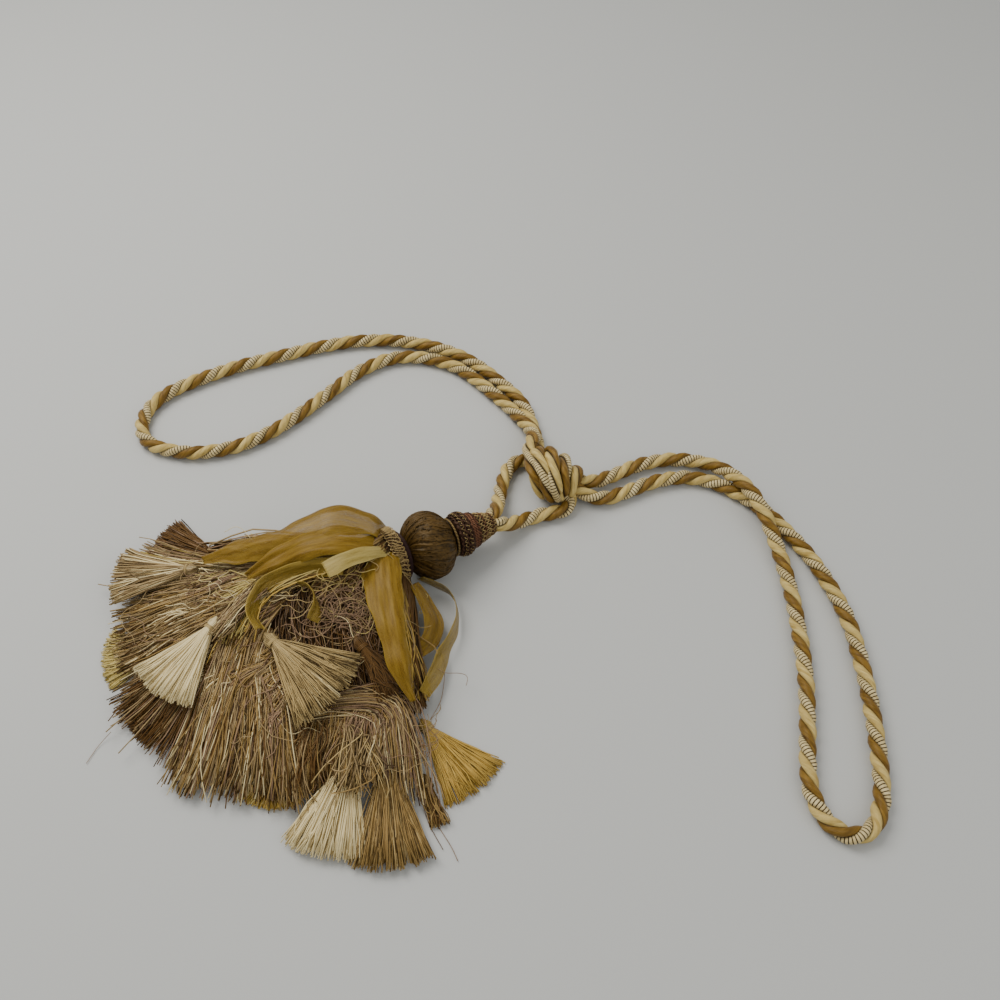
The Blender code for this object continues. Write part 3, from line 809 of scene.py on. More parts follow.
@dataclass
class RopeFrames:
    """A rope's middle line with a frame that doesn't twist about it."""

    line: Array
    tangents: Array = field(init=False)
    lefts: Array = field(init=False)
    ups: Array = field(init=False)
    lengths: Array = field(init=False)

    def __post_init__(self) -> None:
        """Carries the first frame along the line."""
        self.tangents = unit(np.gradient(self.line, axis=0))
        steps = np.linalg.norm(np.diff(self.line, axis=0), axis=1)
        self.lengths = np.concatenate(([0.0], np.cumsum(steps)))
        left = unit(np.cross(UP, self.tangents[0]))
        lefts = [left]
        for tangent in self.tangents[1:]:
            left = unit(left - tangent * float(left @ tangent))
            lefts.append(left)
        self.lefts = np.array(lefts)
        self.ups = np.cross(self.tangents, self.lefts)


@dataclass
class PliedRope:
    """Three-ply rope with a left-hand lay."""

    pitch: float = 29.5
    offset: float = 2.45
    ply_radius: float = 2.6
    sides: int = 8
    stripe_step: float = 1.75
    stripe_dip: float = 0.256
    ring_step: float = 0.5833
    drawn_out: float = 0.42

    def twist(self, frames: RopeFrames, phase: float, slack: tuple[float, float] = (0.0, 0.0)) -> Array:
        """Turn of the bronze ply at each point of a line.

        Args:
            frames: the line's frames.
            phase: the turn at its start, in degrees.
            slack: lengths between which the lay is drawn out straight.

        Returns:
            The turn in radians, going down along a left-hand lay.
        """
        start, end = slack
        drawn = ease(start, start + 6, frames.lengths) * (1 - ease(end - 6, end, frames.lengths))
        rate = 2 * pi / self.pitch * (1 - self.drawn_out * (drawn if end > start else 0.0))
        steps = np.diff(frames.lengths, prepend=0.0)
        return radians(phase) - np.cumsum(np.broadcast_to(rate, steps.shape) * steps)

    def lay(
        self, name: str, frames: RopeFrames, start: float, end: float, twist: Array,
        thin_start: float = 1.0, thin_end: float = 1.0, plies: Sequence[Ply] = tuple(Ply),
    ) -> tuple[bpy.types.Object, Array]:
        """Lays the plies along part of a line.

        Args:
            name: the piece's name.
            frames: the whole line's frames.
            start: length along the line where the piece starts.
            end: length where it ends.
            twist: turn of the bronze ply at each point of the line.
            thin_start: thickness at the start as a share, over the first 9 mm.
            thin_end: thickness at the end as a share.
            plies: the plies in their order around the rope.

        Returns:
            The object, and the piece's middle line in layout millimetres.
        """
        mesh = FibreMesh(name, [ply.value for ply in plies])
        middle = None
        for number, ply in enumerate(plies):
            striped = ply is Ply.STRIPED
            step = self.ring_step if striped else self.ring_step * 3
            count = max(8, round((end - start) / step) + 1)
            at = np.linspace(start, end, count)
            line, lefts, ups = (
                np.stack([np.interp(at, frames.lengths, values[:, i]) for i in range(3)], axis=1)
                for values in (frames.line, frames.lefts, frames.ups)
            )
            lefts, ups = unit(lefts), unit(ups)
            if middle is None or not striped:
                middle = line
            turn = np.interp(at, frames.lengths, twist) + 2 * pi * number / len(plies)
            wander = 1 + 0.035 * np.sin(at * 0.21 + number * 2.1) + 0.02 * np.sin(at * 0.67 + number)
            thin = thin_start + (1 - thin_start) * ease(0, 9, at - start)
            thin = thin * (thin_end + (1 - thin_end) * ease(0, 9, end - at))
            out = lefts * np.cos(turn)[:, None] + ups * np.sin(turn)[:, None]
            path = line + out * (self.offset * thin)[:, None]
            run = np.concatenate(([0.0], np.cumsum(np.linalg.norm(np.diff(path, axis=0), axis=1))))
            radius = self.ply_radius * wander * thin
            if striped:
                share = (run / self.stripe_step) % 1.0
                radius = radius - self.stripe_dip * (np.cos(2 * pi * (share - 0.13)) * 0.5 + 0.5)
            self.sweep_ply(mesh, path, radius, run, out, number)
        return mesh.build(60.0), middle

    def sweep_ply(
        self, mesh: FibreMesh, path: Array, radius: Array, run: Array, out: Array, slot: int
    ) -> None:
        """Sweeps one ply and lays its own map on it: millimetres along, and turns around.

        Args:
            mesh: takes the ply.
            path: the ply's middle line.
            radius: its radius at each point.
            run: length along the ply at each point.
            out: direction from the rope's middle to the ply at each point.
            slot: index of the ply's finish.
        """
        tangents = unit(np.gradient(path, axis=0))
        side = unit(out - tangents * np.sum(out * tangents, axis=1, keepdims=True))
        over = np.cross(tangents, side)
        turn = 2 * pi * np.arange(self.sides) / self.sides
        ring = side[:, None] * np.cos(turn)[:, None] + over[:, None] * np.sin(turn)[:, None]
        points = path[:, None] + radius[:, None, None] * ring
        steps = len(path)
        along = np.repeat(np.linspace(0, 1, steps), self.sides)
        outward = np.tile((1 + np.cos(turn)) / 2, steps)
        first = mesh.add_points(points.reshape(-1, 3), outward, along)
        index = first + np.arange(steps * self.sides).reshape(steps, self.sides)
        beside = np.roll(index, -1, axis=1)
        quads = np.stack((index[:-1], beside[:-1], beside[1:], index[1:]), axis=-1).reshape(-1, 4)
        low = np.broadcast_to(np.arange(self.sides) / self.sides, (steps - 1, self.sides))
        high = low + 1 / self.sides
        start = np.broadcast_to(run[:-1, None], low.shape)
        end = np.broadcast_to(run[1:, None], low.shape)
        corners = ((start, low), (start, high), (end, high), (end, low))
        places = np.stack([np.stack(corner, -1) for corner in corners], axis=2).reshape(-1, 4, 2)
        mesh.add_faces(quads, slot, places)
        mesh.add_faces(index[:1, ::-1], slot)
        mesh.add_faces(index[-1:], slot)


@dataclass
class Ropework:
    """All the rope: two loops, two legs and the knot's wraps."""

    rope: PliedRope = field(default_factory=PliedRope)
    line_step: float = 0.8
    long_phase: float = 70.0
    right_phase: float = 60.0
    upper_phase: float = 260.0
    right_plies: tuple[Ply, ...] = (Ply.BRONZE, Ply.STRIPED, Ply.CREAM)
    neck_thinning: float = 0.62

    def knot_line(self) -> list[Point]:
        """The middle line of the wraps, from the left loop's inner strand to the lower leg.

        Returns:
            Route points in layout millimetres.
        """
        route: list[Point] = []
        last = len(WRAPS) - 1
        for number, (back_x, front_x, half_width, half_height, middle_y) in enumerate(WRAPS):
            after = WRAPS[min(number + 1, last)]
            for turn in range(-45, 315, 30):
                if number == 0 and turn < -10:
                    continue
                if number == last and turn > 120:
                    break
                over = ease(-45, 135, turn) if turn <= 135 else ease(135, 315, turn)
                if turn <= 135:
                    x = back_x + (front_x - back_x) * over
                    grow = 0.0
                else:
                    x = front_x + (after[0] - front_x) * over
                    grow = over
                wide = half_width + (after[2] - half_width) * grow
                high = half_height + (after[3] - half_height) * grow
                y = middle_y + (after[4] - middle_y) * grow
                angle = radians(turn)
                route.append((float(x), float(y - wide * sin(angle)), float(5 + high + high * cos(angle))))
        return route

    def frames(self, route: Sequence[Point]) -> RopeFrames:
        """The frames of a rope that follows a route and lies on the surface where it is lowest."""
        line = smooth_line(route, self.line_step)
        line[:, 2] = np.maximum(line[:, 2], ROPE_DIAMETER / 2 + 0.15)
        return RopeFrames(line)

    def build(self) -> None:
        into_wraps, out_of_wraps = (141.5, 162.0, 22.5), (168.8, 132.0, 5.0)
        wound = (into_wraps, *self.knot_line(), out_of_wraps)
        frames = self.frames((*LOOP_CORE, *LEFT_LOOP, *wound, *LOWER_LEG, *NECK_ENTRY_LOWER))
        knot_start = self.nearest(frames, LEFT_LOOP[-1]) + 3.0
        knot_end = self.nearest(frames, LOWER_LEG[0], after=knot_start) - 8.0
        total = float(frames.lengths[-1])
        twist = self.rope.twist(frames, self.long_phase, (knot_start, knot_end))
        knot, _ = self.rope.lay("knot_wraps", frames, knot_start, knot_end, twist)
        settle(knot, "rope", "rope_knot")
        upper = (*NECK_ENTRY_UPPER, *UPPER_LEG, *UPPER_LEG_CORE)
        right = (*RIGHT_CORE_START, *RIGHT_LOOP, *RIGHT_CORE_END)
        thin = self.neck_thinning
        laid = {
            "rope_left_loop": self.rope.lay("left_loop_rope", frames, 0.0, knot_start, twist),
            "rope_right_loop": self.single(
                "right_loop_rope", right, self.right_phase, plies=self.right_plies
            ),
            "rope_leg_upper": self.single("upper_leg_rope", upper, self.upper_phase, thin_start=thin),
            "rope_leg_lower": self.rope.lay("lower_leg_rope", frames, knot_end, total, twist, thin_end=thin),
        }
        for node, (piece, middle) in laid.items():
            settle(piece, "rope", node)

    def single(
        self, name: str, route: Sequence[Point], phase: float,
        thin_start: float = 1.0, plies: Sequence[Ply] = tuple(Ply),
    ) -> tuple[bpy.types.Object, Array]:
        """Lays one rope along its whole route.

        Args:
            name: the piece's name.
            route: route points in layout millimetres.
            phase: turn of the bronze ply at the start, in degrees.
            thin_start: thickness at the start as a share.
            plies: the plies in their order around the rope.

        Returns:
            The object and its middle line.
        """
        frames = self.frames(route)
        twist = self.rope.twist(frames, phase)
        return self.rope.lay(name, frames, 0.0, float(frames.lengths[-1]), twist, thin_start, plies=plies)

    @staticmethod
    def nearest(frames: RopeFrames, point: Point, after: float = 0.0) -> float:
        """Length along a line at the place nearest a point, past a given length."""
        away = np.linalg.norm(frames.line - np.array(point), axis=1)
        away[frames.lengths < after] = np.inf
        return float(frames.lengths[int(np.argmin(away))])


# ------------------------------------------------------------------ head


@dataclass
class HeadFrame:
    """The head's own frame: z runs from the ball's centre towards the collar."""

    centre: Array = field(default_factory=lambda: np.array((77.2, 82.6, 22.5)))
    turn: float = 209.0
    tilt: float = 7.0
    matrix: Array = field(init=False)

    def __post_init__(self) -> None:
        """Works out the axes."""
        turn, tilt = radians(self.turn), radians(self.tilt)
        axis = np.array((cos(turn) * cos(tilt), sin(turn) * cos(tilt), sin(tilt)))
        side = unit(np.cross(UP, axis))
        self.matrix = np.stack((side, np.cross(axis, side), axis), axis=1)

    @property
    def axis(self) -> Array:
        """The direction from the ball to the collar."""
        return self.matrix[:, 2]

    def place(self, points: Array) -> Array:
        """Takes points from the head's own frame to the layout."""
        return np.asarray(points) @ self.matrix.T + self.centre

    def turned_core(self, name: str, profile: Profile, segments: int) -> bpy.types.Object:
        """Models a turned body in edit mode: a circle that is extruded and scaled ring by ring.

        Args:
            name: the object's name.
            profile: place along the axis and radius of each ring, in millimetres.
            segments: corners of a ring.

        Returns:
            The object, closed at both ends, in the row frame.
        """
        bpy.ops.object.select_all(action="DESELECT")
        start, radius = profile[0]
        bpy.ops.mesh.primitive_circle_add(
            vertices=segments, radius=radius * MM, location=(0, 0, start * MM), fill_type="NGON"
        )
        made = bpy.context.active_object
        made.name = name
        bpy.ops.object.transform_apply(location=True, rotation=True, scale=True)
        bpy.ops.object.mode_set(mode="EDIT")
        for (place, size), (after, wider) in zip(profile, profile[1:]):
            bpy.ops.mesh.extrude_region_move(TRANSFORM_OT_translate={"value": (0, 0, (after - place) * MM)})
            bpy.ops.transform.resize(value=(wider / size, wider / size, 1.0))
        bpy.ops.mesh.select_all(action="SELECT")
        bpy.ops.mesh.normals_make_consistent(inside=False)
        bpy.ops.object.mode_set(mode="OBJECT")
        self.stand(made)
        return made

    def wind(
        self, mesh: FibreMesh, profile: Profile, finish: Finish, tone: float,
        segments: int = 48,
    ) -> bpy.types.Object:
        """Makes wound threads and joins them with the turned core under them.

        Args:
            mesh: holds the windings.
            profile: place along the axis and radius of each ring of the core, in millimetres.
            finish: the core's finish.
            tone: the core's tone.
            segments: corners of each ring of the core.

        Returns:
            The object that holds both.
        """
        made = mesh.build()
        core = self.turned_core(f"{mesh.name}_core", profile, segments)
        count = len(core.data.vertices)
        dress_turned(core, finish, np.full(count, tone), np.full(count, 0.5))
        pick(made, core)
        bpy.ops.object.join()
        return made

    def stand(self, made: bpy.types.Object) -> None:
        """Moves an object from the head's own frame to the row frame, and applies it."""
        centre = metres(self.centre)
        rows = [[*self.matrix[i], centre[i]] for i in range(3)]
        made.data.transform(Matrix((*rows, (0, 0, 0, 1))))
        made.data.update()


def dress_turned(piece: bpy.types.Object, finish: Finish, tones: Array, along: Array) -> None:
    """Gives a turned piece its finish and its thread attributes.

    Args:
        piece: the piece.
        finish: its finish.
        tones: tone of each vertex.
        along: place of each vertex along its thread.
    """
    mesh = piece.data
    for label, values in (("strand", tones), ("along", along)):
        attribute = mesh.attributes.new(label, "FLOAT", "POINT")
        attribute.data.foreach_set("value", np.asarray(values, np.float32))
    mesh.materials.clear()
    mesh.materials.append(finish.material())
    mesh.shade_smooth()


@dataclass
class Ball:
    """The ball under satin threads that run from end to end."""

    head: HeadFrame
    radius: float = 22.3
    half_length: float = 17.0
    threads: int = 150
    segments: int = 560
    rings: int = 26
    relief: float = 0.85
    slant: float = 0.30

    def build(self) -> bpy.types.Object:
        """Models a sphere, flattens it along the axis and raises each thread on it.

        Returns:
            The ball.
        """
        bpy.ops.object.select_all(action="DESELECT")
        bpy.ops.mesh.primitive_uv_sphere_add(
            segments=self.segments, ring_count=self.rings, radius=self.radius * MM
        )
        made = bpy.context.active_object
        made.name = "ball_threads"
        bpy.ops.object.mode_set(mode="EDIT")
        bpy.ops.mesh.select_all(action="SELECT")
        bpy.ops.transform.resize(value=(1.0, 1.0, self.half_length / self.radius))
        bpy.ops.object.mode_set(mode="OBJECT")
        mesh = made.data
        points = np.zeros(len(mesh.vertices) * 3)
        mesh.vertices.foreach_get("co", points)
        points = points.reshape(-1, 3) / MM
        rng = np.random.default_rng(11)
        edges = np.concatenate(([0.0], np.cumsum(rng.uniform(0.45, 1.55, self.threads))))
        edges /= edges[-1]
        latitude = np.clip(points[:, 2] / self.half_length, -1, 1)
        angle = np.arctan2(points[:, 1], points[:, 0]) / (2 * pi) % 1.0
        shifted = (angle + 0.006 * np.sin(latitude * 5.0 + angle * 40.0)) % 1.0
        number = np.clip(np.searchsorted(edges, shifted, side="right") - 1, 0, self.threads - 1)
        across = (shifted - edges[number]) / (edges[number + 1] - edges[number]) - 0.5
        lift = rng.uniform(0.1, 1.2, self.threads)[number]
        ridge = np.sqrt(np.clip(1 - (2 * across) ** 2, 0, 1))
        open_share = np.sqrt(np.clip(1 - latitude**2, 0, 1))
        raised = self.relief * ridge * lift * np.clip(open_share * 1.5, 0.1, 1)
        lean = self.slant * latitude + 0.05 * np.sin(number * 2.4 + latitude * 4.0)
        radial = np.hypot(points[:, 0], points[:, 1])
        new_angle = 2 * pi * angle + lean
        points[:, 0], points[:, 1] = radial * np.cos(new_angle), radial * np.sin(new_angle)
        size = np.linalg.norm(points, axis=1, keepdims=True)
        points = points * (1 + (raised[:, None] - self.relief) / np.maximum(size, 1e-6))
        mesh.vertices.foreach_set("co", (points * MM).ravel())
        tone = rng.beta(1.2, 1.5, self.threads)[number]
        # Each thread keeps its own random tone; towards its edges the tone drops to a tenth, a painted shade
        # in the gaps between threads.
        tones = np.clip((0.12 + 0.95 * tone) * (0.1 + 1.0 * ridge**1.5), 0, 1)
        dress_turned(made, Thread.BALL.value, tones, latitude * 0.5 + 0.5)
        self.head.stand(made)
        return settle(made, "ball_thread", "ball")


@dataclass
class GimpRing:
    """A ring of twisted gimp round the head's axis, straight or in scallops."""

    place: float
    radius: float
    cord: float
    twists: int
    finish: int = 0
    wave_place: float = 0.0
    wave_radius: float = 0.0
    waves: int = 0
    wave_turn: float = 0.0
    lean: float = 0.0

    def add(self, mesh: FibreMesh, head: HeadFrame, rng: np.random.Generator) -> None:
        """Adds the ring's plies.

        Args:
            mesh: takes them.
            head: the head's frame.
            rng: draws their tones.
        """
        count = max(72, self.twists * 4, self.waves * 7)
        turn = 2 * pi * np.arange(count) / count
        radial = np.stack((np.cos(turn), np.sin(turn), np.zeros(count)), axis=1)
        axis = np.array((0.0, 0.0, 1.0))
        wave = self.waves * turn + self.wave_turn
        radius = self.radius + self.wave_radius * np.cos(wave)
        place = self.place + self.wave_place * np.sin(wave) + self.lean * np.sin(turn)
        line = radial * radius[:, None] + axis * place[:, None]
        for ply in range(2):
            twist = self.twists * turn + pi * ply
            shift = self.cord * 0.5 * (radial * np.cos(twist)[:, None] + axis * np.sin(twist)[:, None])
            points = head.place(line + shift)[None]
            mesh.add_tubes(points, self.cord * 0.58, 4, rng.uniform(0.15, 0.95), self.finish, True, head.axis)


@dataclass
class NeckBinding:
    """The neck: three steps of wound gimp, with small scallops where it meets the rope."""

    head: HeadFrame
    core_profile: Profile = (
        (-17.4, 9.0), (-18.4, 12.2), (-27.0, 12.4), (-28.2, 10.4), (-32.8, 9.4), (-33.8, 8.2),
        (-38.0, 7.4), (-43.0, 6.0), (-46.4, 4.8), (-47.2, 3.0),
    )

    def build(self) -> bpy.types.Object:
        """Winds the gimp round a turned core and joins all of it.

        Returns:
            The neck binding.
        """
        rng = np.random.default_rng(23)
        mesh = FibreMesh("neck_gimp_winding", [Gimp.DARK.value, Gimp.COPPER.value, Gimp.PALE.value])
        wide = ((-18.8, 12.3), (-20.3, 13.1), (-21.9, 13.6), (-23.5, 13.7), (-25.1, 13.2), (-26.4, 12.2))
        narrow = (
            (-33.9, 9.3), (-35.4, 9.3), (-37.0, 8.9), (-38.6, 8.3), (-40.2, 7.8), (-41.8, 7.2), (-43.4, 6.7),
            (-45.0, 6.1),
        )
        rings = [GimpRing(*row, 0.8, 28, 0, 0.55, 0.45, 21, number * 2.6) for number, row in enumerate(wide)]
        rings += [GimpRing(place, 13.7, 0.34, 70, 2, 0.9, 0.5, 31, place) for place in (-20.6, -24.2)]
        lowest = ((-28.6, 11.0), (-30.4, 10.8), (-32.2, 10.2))
        rings += [GimpRing(*row, 1.15, 16, 1, lean=0.3) for row in lowest]
        rings.append(GimpRing(-30.2, 11.3, 0.3, 50, 0, 2.0, 0.25, 21))
        rings += [
            GimpRing(*row, 0.5, 28, (2, 2, 1, 2)[number % 4], 1.1, 0.6, 17, number * 2.3)
            for number, row in enumerate(narrow)
        ]
        for ring in rings:
            ring.add(mesh, self.head, rng)
        made = self.head.wind(mesh, self.core_profile, Gimp.DARK.value, 0.2)
        return settle(made, "neck_gimp", "neck_binding")


@dataclass
class WaistAndCollar:
    """The wound waist band, the fine gold cord and the braid collar."""

    head: HeadFrame
    waist_profile: Profile = ((15.6, 10.0), (17.2, 12.8), (18.4, 14.2), (20.4, 14.0))
    collar_profile: Profile = (
        (20.4, 12.0), (20.8, 15.6), (22.4, 17.8), (27.0, 17.8), (28.6, 16.4), (29.0, 12.0),
    )

    def gold_cord(self) -> bpy.types.Object:
        """Makes the fine cord between neck and ball."""
        mesh = FibreMesh("gold_cord_twist", [Gimp.GOLD.value])
        GimpRing(-15.8, 11.9, 0.82, 34).add(mesh, self.head, np.random.default_rng(31))
        return settle(mesh.build(), "gold_cord", "gold_cord")

    def waist(self) -> bpy.types.Object:
        """Makes the waist band: turns of dark thread on a core."""
        rng = np.random.default_rng(37)
        mesh = FibreMesh("waist_windings", [Thread.WAIST.value])
        turns = ((16.2, 11.6), (16.9, 13.0), (17.6, 14.2), (18.3, 15.0), (19.0, 15.1), (19.7, 14.8))
        for turn in turns:
            GimpRing(*turn, 0.5, 60, lean=0.12).add(mesh, self.head, rng)
        made = self.head.wind(mesh, self.waist_profile, Thread.WAIST.value, 0.3)
        return settle(made, "waist_thread", "waist_band")

    def collar(self) -> bpy.types.Object:
        """Makes the collar: interlaced scallops of gimp between two twisted edges."""
        rng = np.random.default_rng(41)
        mesh = FibreMesh("collar_gimp_braid", [Gimp.PALE.value, Gimp.DARK.value])
        edges = [GimpRing(*edge, 0.5, 70, 0, 0.5, 0.4, 37) for edge in ((21.0, 16.9), (28.4, 17.6))]
        scallops = [
            GimpRing(22.4 + 1.1 * number, 18.6, 0.4, 80, 0, 1.5, 0.8, 33 + 6 * number, 2 * pi * number / 3)
            for number in range(5)
        ]
        places = (22.2, 23.5, 24.8, 26.1, 27.2)
        ground = [GimpRing(place, 18.0, 0.6, 60, 1, 0.4, 0.4, 27, place) for place in places]
        for ring in (*edges, *scallops, *ground):
            ring.add(mesh, self.head, rng)
        made = self.head.wind(mesh, self.collar_profile, Gimp.DARK.value, 0.45, 56)
        return settle(made, "collar_braid", "collar_braid")


# ------------------------------------------------------------------ skirt

SKIRT_ROOT = np.array((57.0, 73.0))
SKIRT_MIDDLE = 227.0
COLLAR_RADIUS = 20.0
# Reach from the root, and height of the lowest layer there
CREST = ((0.0, 34.0), (30.0, 32.0), (60.0, 28.0), (95.0, 20.0), (130.0, 12.5), (160.0, 7.5), (185.0, 5.6))
RIM_HEIGHT = 5.8
SKIRT_WIDENING = 1.12
LAYER_HEIGHT = 6.5
LAYER_GAP = 1.0
HEAD_HALF_WIDTH, TIE_HALF_WIDTH, HEAD_LENGTH = 4.2, 3.2, 8.0


class Heights:
    """The skirt's stacked heights: a domed lowest layer, and the others at equal steps above it."""

    @staticmethod
    def lower_top(x: Array, y: Array) -> Array:
        """Top of the lowest layer at these places."""
        off_x, off_y = x - SKIRT_ROOT[0], y - SKIRT_ROOT[1]
        turn = radians(SKIRT_MIDDLE)
        along = off_x * cos(turn) + off_y * sin(turn)
        across = np.abs(-off_x * sin(turn) + off_y * cos(turn))
        half = COLLAR_RADIUS + SKIRT_WIDENING * np.maximum(along, 0.0)
        share = 1 - np.minimum(across / half, 1.0) ** 2.4
        reach = np.hypot(off_x, off_y)
        crest = np.interp(reach, *zip(*CREST))
        return RIM_HEIGHT + np.maximum(crest - RIM_HEIGHT, 0.0) * share

    @staticmethod
    def bottom(layer: float, x: Array, y: Array) -> Array:
        """Where a piece of this layer starts."""
        if layer == 0:
            return np.zeros_like(np.asarray(x, float))
        return Heights.lower_top(x, y) + (layer - 1) * LAYER_HEIGHT + LAYER_GAP


@dataclass
class SkirtCore:
    """The inside of the yarn mass, ribbed like packed threads and coloured near-black as painted shade
    between the threads.
    """

    head: HeadFrame
    rows: int = 32
    columns: int = 180
    lowered: float = 1.6
    first: float = 170.0
    last: float = 286.0
    reaches: tuple[tuple[float, float], ...] = (
        (170.0, 100.0), (180.0, 112.0), (192.0, 128.0), (206.0, 134.0), (214.0, 133.0), (224.0, 139.0),
        (236.0, 148.0), (244.0, 126.0), (256.0, 120.0), (270.0, 118.0), (279.0, 96.0), (286.0, 78.0),
    )
    root_radius: float = 16.6
    root_place: float = 28.4

    def build(self) -> bpy.types.Object:
        """Makes the closed, ribbed body.

        Returns:
            The core, which stands for the yarn mass.
        """
        rng = np.random.default_rng(3)
        axis = self.head.axis
        side = unit(np.cross(UP, axis))
        raised = np.cross(axis, side)
        start = self.head.centre + axis * self.root_place
        out = np.linspace(0, 1, self.rows)[:, None]
        across = np.linspace(-1, 1, self.columns)[None]
        turn = np.clip(np.abs(across), 0, 0.97) * pi / 2
        beside = start + side * (self.root_radius * np.sin(turn) * np.sign(across))[..., None]
        crown = beside + raised * (self.root_radius * np.cos(turn))[..., None]
        foot = beside - raised * (self.root_radius * np.cos(turn))[..., None]
        direction = self.first + (self.last - self.first) * (across + 1) / 2
        reach = np.interp(direction, *zip(*self.reaches)) - 2.0
        heading = np.stack((np.cos(np.radians(direction)), np.sin(np.radians(direction))), axis=-1)
        end = SKIRT_ROOT + reach[..., None] * heading
        spread = ease(0.0, 0.22, out)
        over = crown[..., :2] + (end - crown[..., :2]) * out[..., None]
        under = foot[..., :2] + (end - foot[..., :2]) * out[..., None]
        far = np.hypot(over[..., 0] - SKIRT_ROOT[0], over[..., 1] - SKIRT_ROOT[1])
        step_up = LAYER_HEIGHT * (1 - ease(82.0, 94.0, far))
        edge = 0.55 + 0.45 * ease(0.0, 0.30, 1 - np.abs(across))
        dome = (Heights.lower_top(over[..., 0], over[..., 1]) + step_up - 0.5) * edge
        dome = dome - self.lowered * ease(0.1, 0.3, out)
        ribs = 0.7 * np.abs(np.sin(across * 70.0 + 0.8 * np.sin(out * 5.0 + across * 9.0)))
        ribs = ribs * ease(0.05, 0.3, out)
        top_z = crown[..., 2] + (dome - ribs - crown[..., 2]) * spread
        bottom_z = foot[..., 2] * (1 - spread) + 0.25 * spread
        top = np.concatenate((over, np.maximum(top_z, bottom_z + 0.6)[..., None]), axis=-1)
        bottom = np.concatenate((under, bottom_z[..., None]), axis=-1)
        tones = rng.beta(1.5, 2.5, self.columns)
        mesh = FibreMesh("skirt_core_yarn", [Thread.CORE.value])
        tone = np.tile(tones, self.rows)
        along = np.repeat(np.linspace(0, 1, self.rows), self.columns)
        upper = mesh.add_points(top.reshape(-1, 3), tone, along)
        lower = mesh.add_points(bottom.reshape(-1, 3), tone, along)
        index = np.arange(self.rows * self.columns).reshape(self.rows, self.columns)
        a, b, c, d = index[:-1, :-1], index[:-1, 1:], index[1:, 1:], index[1:, :-1]
        mesh.add_faces(upper + np.stack((a, d, c, b), -1).reshape(-1, 4))
        mesh.add_faces(lower + np.stack((a, b, c, d), -1).reshape(-1, 4))
        rim = np.concatenate((index[0], index[1:, -1], index[-1, -2::-1], index[-2:0:-1, 0]))
        after = np.roll(rim, -1)
        mesh.add_faces(np.stack((upper + rim, upper + after, lower + after, lower + rim), -1))
        made = mesh.build(50.0)
        pick(made)
        bpy.ops.object.mode_set(mode="EDIT")
        bpy.ops.mesh.select_all(action="SELECT")
        bpy.ops.mesh.normals_make_consistent(inside=False)
        bpy.ops.object.mode_set(mode="OBJECT")
        return settle(made, "yarn_dark", "skirt_yarn")


